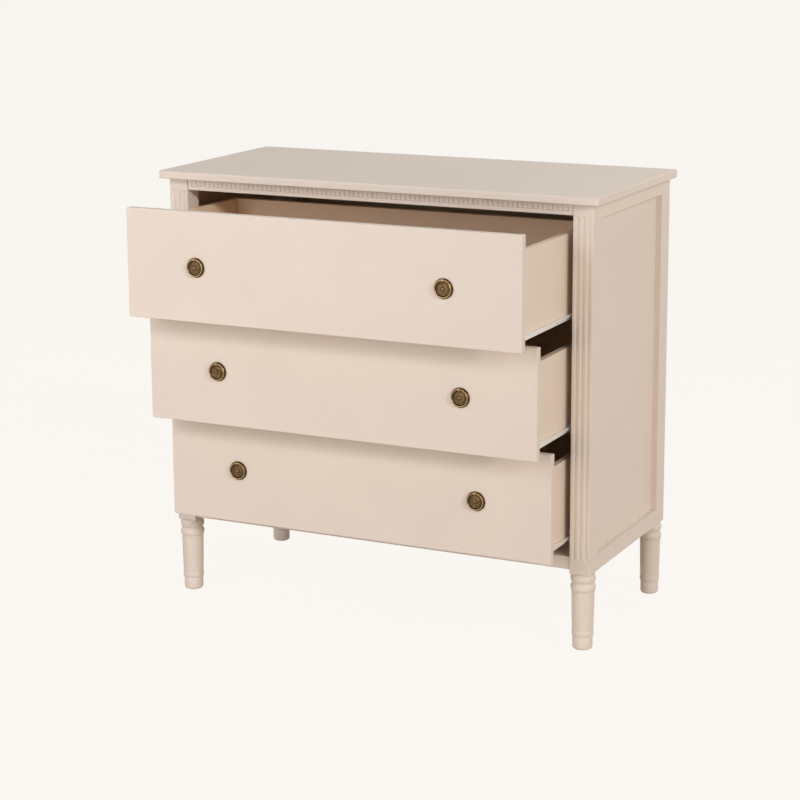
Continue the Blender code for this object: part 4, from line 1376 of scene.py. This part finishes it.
class CHEST_OT_pull_plates(ChestOperator, bpy.types.Operator):
    """Make the stepped plates of the pulls, with their eyes and studs"""

    bl_idname = "chest.pull_plates"
    bl_label = "Pull Plates"

    def execute(self, context):
        profile = plate_profile(self.sizes.plate_rim)
        for drawer, _, _, node in drawer_pairs("pull_plate"):
            face, back = corners_of(f"{drawer}_front")
            low, high = corners_of(node)
            place = facing_front(((low[0] + high[0]) / 2, face[1], (face[2] + back[2]) / 2))
            plate = turned(profile[:, :2], place, sides=80, recess=profile[:, 2])
            end = -(back[1] - face[1]) - PLATE.stud_past
            shells = [plate, stud_shell(place, end), *eye_shells(place)]
            make_piece(f"brass_{node}", shells, brass_finishes(), [node])
        return {"FINISHED"}


class CHEST_OT_pull_rings(ChestOperator, bpy.types.Operator):
    """Make the hanging rings of the pulls"""

    bl_idname = "chest.pull_rings"
    bl_label = "Pull Rings"

    def execute(self, context):
        angle = np.linspace(0, 2 * np.pi, 16, endpoint=False)
        section = self.sizes.ring_wire * np.stack((np.cos(angle), np.sin(angle)), -1)
        for *_, node in drawer_pairs("pull_ring"):
            low, high = corners_of(node)
            loop = round_loop(PLATE.ring, section, sides=72)
            shell = turned_shell(loop, facing_front((low + high) / 2))
            make_piece(f"brass_{node}", [shell], brass_finishes(), [node])
        return {"FINISHED"}


# Stage

# The camera as fitted to the photograph with this shift: place, turns in radians, lens and sensor in
# millimetres, and how far it sees
CAMERA_PLACE = (1.8243, -3.68705, 1.3955)
CAMERA_YAW = -0.4567
CAMERA_PITCH = -0.2060
CAMERA_ROLL = -0.0050
CAMERA_LENS = 99.81
CAMERA_SENSOR = 36
CAMERA_SHIFT = -0.08
CAMERA_FAR = 200

# Half the floor's width, how much of its look is a glow, and the glow's colour
FLOOR_REACH = 40.0
FLOOR_SHOWN = 0.93
FLOOR_GLOW = (1.01, 0.975, 0.933)

# Point that the lamps face, and each lamp's name, azimuth, elevation, distance (0 for a distant one), spread
# in degrees or width in metres, strength at the chest and colour
LAMP_AIM = (0.0, -0.1, 0.45)
WARM = (1.0, 0.955, 0.90)
COOL = (0.97, 1.0, 1.05)
LAMPS = (
    ("right_lamp", 64, 15, 0, 5, 0.84, WARM),
    ("right_front_lamp", 48, 27, 0, 5, 0.38, WARM),
    ("right_panel", 85, 25, 3.0, 1.6, 0.56, WARM),
    ("front_panel", 2, 4, 3.6, 1.2, 0.70, WARM),
    ("left_panel", -35, 10, 3.6, 1.8, 0.26, WARM),
    ("front_left_panel", -18, 25, 3.6, 1.6, 0.80, COOL),
    ("upper_left_panel", -55, 33, 3.2, 1.8, 0.22, COOL),
    ("rear_right_panel", 125, 30, 3.0, 2.0, 0.36, WARM),
    ("rear_panel", 170, 50, 3.0, 2.0, 0.54, WARM),
    ("rear_left_panel", 262, 16, 3.2, 1.8, 0.46, WARM),
    ("overhead_panel", 0, 85, 2.2, 2.0, 0.36, WARM),
)


def camera_matrix():
    """The camera's place from its yaw, pitch and roll: its axes are right, up and against the view."""
    yaw, pitch, roll = CAMERA_YAW, CAMERA_PITCH, CAMERA_ROLL
    ahead = np.array((np.sin(yaw) * np.cos(pitch), np.cos(yaw) * np.cos(pitch), np.sin(pitch)))
    right = np.array((np.cos(yaw), -np.sin(yaw), 0))
    up = np.cross(right, ahead)
    rolled_right = np.cos(roll) * right + np.sin(roll) * up
    rolled_up = -np.sin(roll) * right + np.cos(roll) * up
    matrix = np.eye(4)
    matrix[:3, :3] = np.stack((rolled_right, rolled_up, -ahead), -1)
    matrix[:3, 3] = CAMERA_PLACE
    return Matrix(matrix.tolist())


def floor_material(tone):
    """A matt floor that throws warm light back, which camera and mirror rays see mostly as an even glow."""
    material = bpy.data.materials.new("pale_floor")
    made = Nodes(material)
    made.tree.nodes.clear()
    matt = made.node("ShaderNodeBsdfDiffuse", {"Color": (*tone, 1)}).outputs["BSDF"]
    glow = made.node("ShaderNodeEmission", {"Color": (*FLOOR_GLOW, 1)}).outputs["Emission"]
    shown = made.maths("MULTIPLY", made.camera_share(), FLOOR_SHOWN)
    total = made.node("ShaderNodeMixShader", {"Fac": shown, 1: matt, 2: glow})
    made.node("ShaderNodeOutputMaterial", {"Surface": total.outputs["Shader"]})
    return material


class CHEST_OT_stage(ChestOperator, bpy.types.Operator):
    """Make the floor, the backdrop, the lamps and the camera"""

    bl_idname = "chest.stage"
    bl_label = "Stage"

    def execute(self, context):
        scene = context.scene
        self.make_floor(scene)
        self.make_world(scene)
        for lamp in LAMPS:
            self.make_lamp(scene, *lamp)
        self.make_camera(scene)
        return {"FINISHED"}

    def make_floor(self, scene):
        """A wide flat floor under the feet."""
        level = CAD_BOX[0][2]
        points = [(x * FLOOR_REACH, y * FLOOR_REACH, level) for x, y in ((-1, -1), (1, -1), (1, 1), (-1, 1))]
        mesh = bpy.data.meshes.new("floor")
        mesh.from_pydata(points, [], [(0, 1, 2, 3)])
        mesh.materials.append(floor_material(tuple(self.colours.floor)))
        floor = bpy.data.objects.new("floor", mesh)
        scene.collection.objects.link(floor)

    def make_world(self, scene):
        """The backdrop, which only camera and mirror rays see: it lights nothing else."""
        scene.world = scene.world or bpy.data.worlds.new("studio")
        made = Nodes(scene.world)
        made.tree.nodes.clear()
        seen = made.node("ShaderNodeBackground", {"Color": (*self.colours.backdrop, 1)})
        total = made.node("ShaderNodeMixShader", {"Fac": made.camera_share(), 2: seen.outputs["Background"]})
        made.node("ShaderNodeOutputWorld", {"Surface": total.outputs["Shader"]})

    def make_lamp(self, scene, name, azimuth, elevation, distance, width, strength, tone):
        """A distant lamp of a given spread, or a square panel at a distance, as bright at the chest."""
        data = bpy.data.lights.new(name, "AREA" if distance else "SUN")
        if distance:
            data.shape = "SQUARE"
            data.size = width
            data.energy = strength * np.pi * distance**2
        else:
            data.angle = np.radians(width)
            data.energy = strength
        data.color = tone
        lamp = bpy.data.objects.new(name, data)
        tilt = Matrix.Rotation(np.radians(90 - elevation), 4, "X")
        turn = Matrix.Rotation(np.radians(azimuth), 4, "Z") @ tilt
        lamp.matrix_world = Matrix.Translation(LAMP_AIM) @ turn @ Matrix.Translation((0, 0, distance))
        lamp.visible_camera = False
        scene.collection.objects.link(lamp)

    def make_camera(self, scene):
        """The photograph's camera, and a view transform that shows colours as they are."""
        data = bpy.data.cameras.new("camera")
        data.sensor_width = CAMERA_SENSOR
        data.lens = CAMERA_LENS
        data.shift_y = CAMERA_SHIFT
        data.clip_end = CAMERA_FAR
        camera = bpy.data.objects.new("camera", data)
        camera.matrix_world = camera_matrix()
        scene.collection.objects.link(camera)
        scene.camera = camera
        scene.view_settings.view_transform = "Standard"


# Add-on

STEPS = (
    CHEST_OT_top_board,
    CHEST_OT_posts,
    CHEST_OT_legs,
    CHEST_OT_rails,
    CHEST_OT_panels,
    CHEST_OT_drawer_fronts,
    CHEST_OT_drawer_boxes,
    CHEST_OT_runners,
    CHEST_OT_slides,
    CHEST_OT_pull_plates,
    CHEST_OT_pull_rings,
    CHEST_OT_stage,
)


class CHEST_PT_pieces(bpy.types.Panel):
    """Lists the pieces of the chest, their sizes and their colours"""

    bl_idname = "CHEST_PT_pieces"
    bl_label = "Chest of Drawers"
    bl_space_type = "VIEW_3D"
    bl_region_type = "UI"
    bl_category = "Chest"

    def draw(self, context):
        column = self.layout.column(align=True)
        for step in STEPS:
            column.operator(step.bl_idname, text=step.bl_label)
        for group in (context.scene.chest_sizes, context.scene.chest_colours):
            box = self.layout.box()
            for name in group.bl_rna.properties.keys():
                if name not in ("rna_type", "name"):
                    box.prop(group, name)


CLASSES = (ChestSizes, ChestColours, *STEPS, CHEST_PT_pieces)


def register():
    """Registers the classes and their groups of values."""
    for item in CLASSES:
        bpy.utils.register_class(item)
    bpy.types.Scene.chest_sizes = PointerProperty(type=ChestSizes)
    bpy.types.Scene.chest_colours = PointerProperty(type=ChestColours)


def unregister():
    """Takes the groups of values and the classes away again."""
    del bpy.types.Scene.chest_colours
    del bpy.types.Scene.chest_sizes
    for item in reversed(CLASSES):
        bpy.utils.unregister_class(item)


def main():
    """Makes every piece and the stage."""
    register()
    for step in STEPS:
        group, name = step.bl_idname.split(".")
        result = getattr(getattr(bpy.ops, group), name)()
        if result != {"FINISHED"}:
            raise RuntimeError(f"{step.bl_label} couldn't finish")


if __name__ == "__main__":
    main()
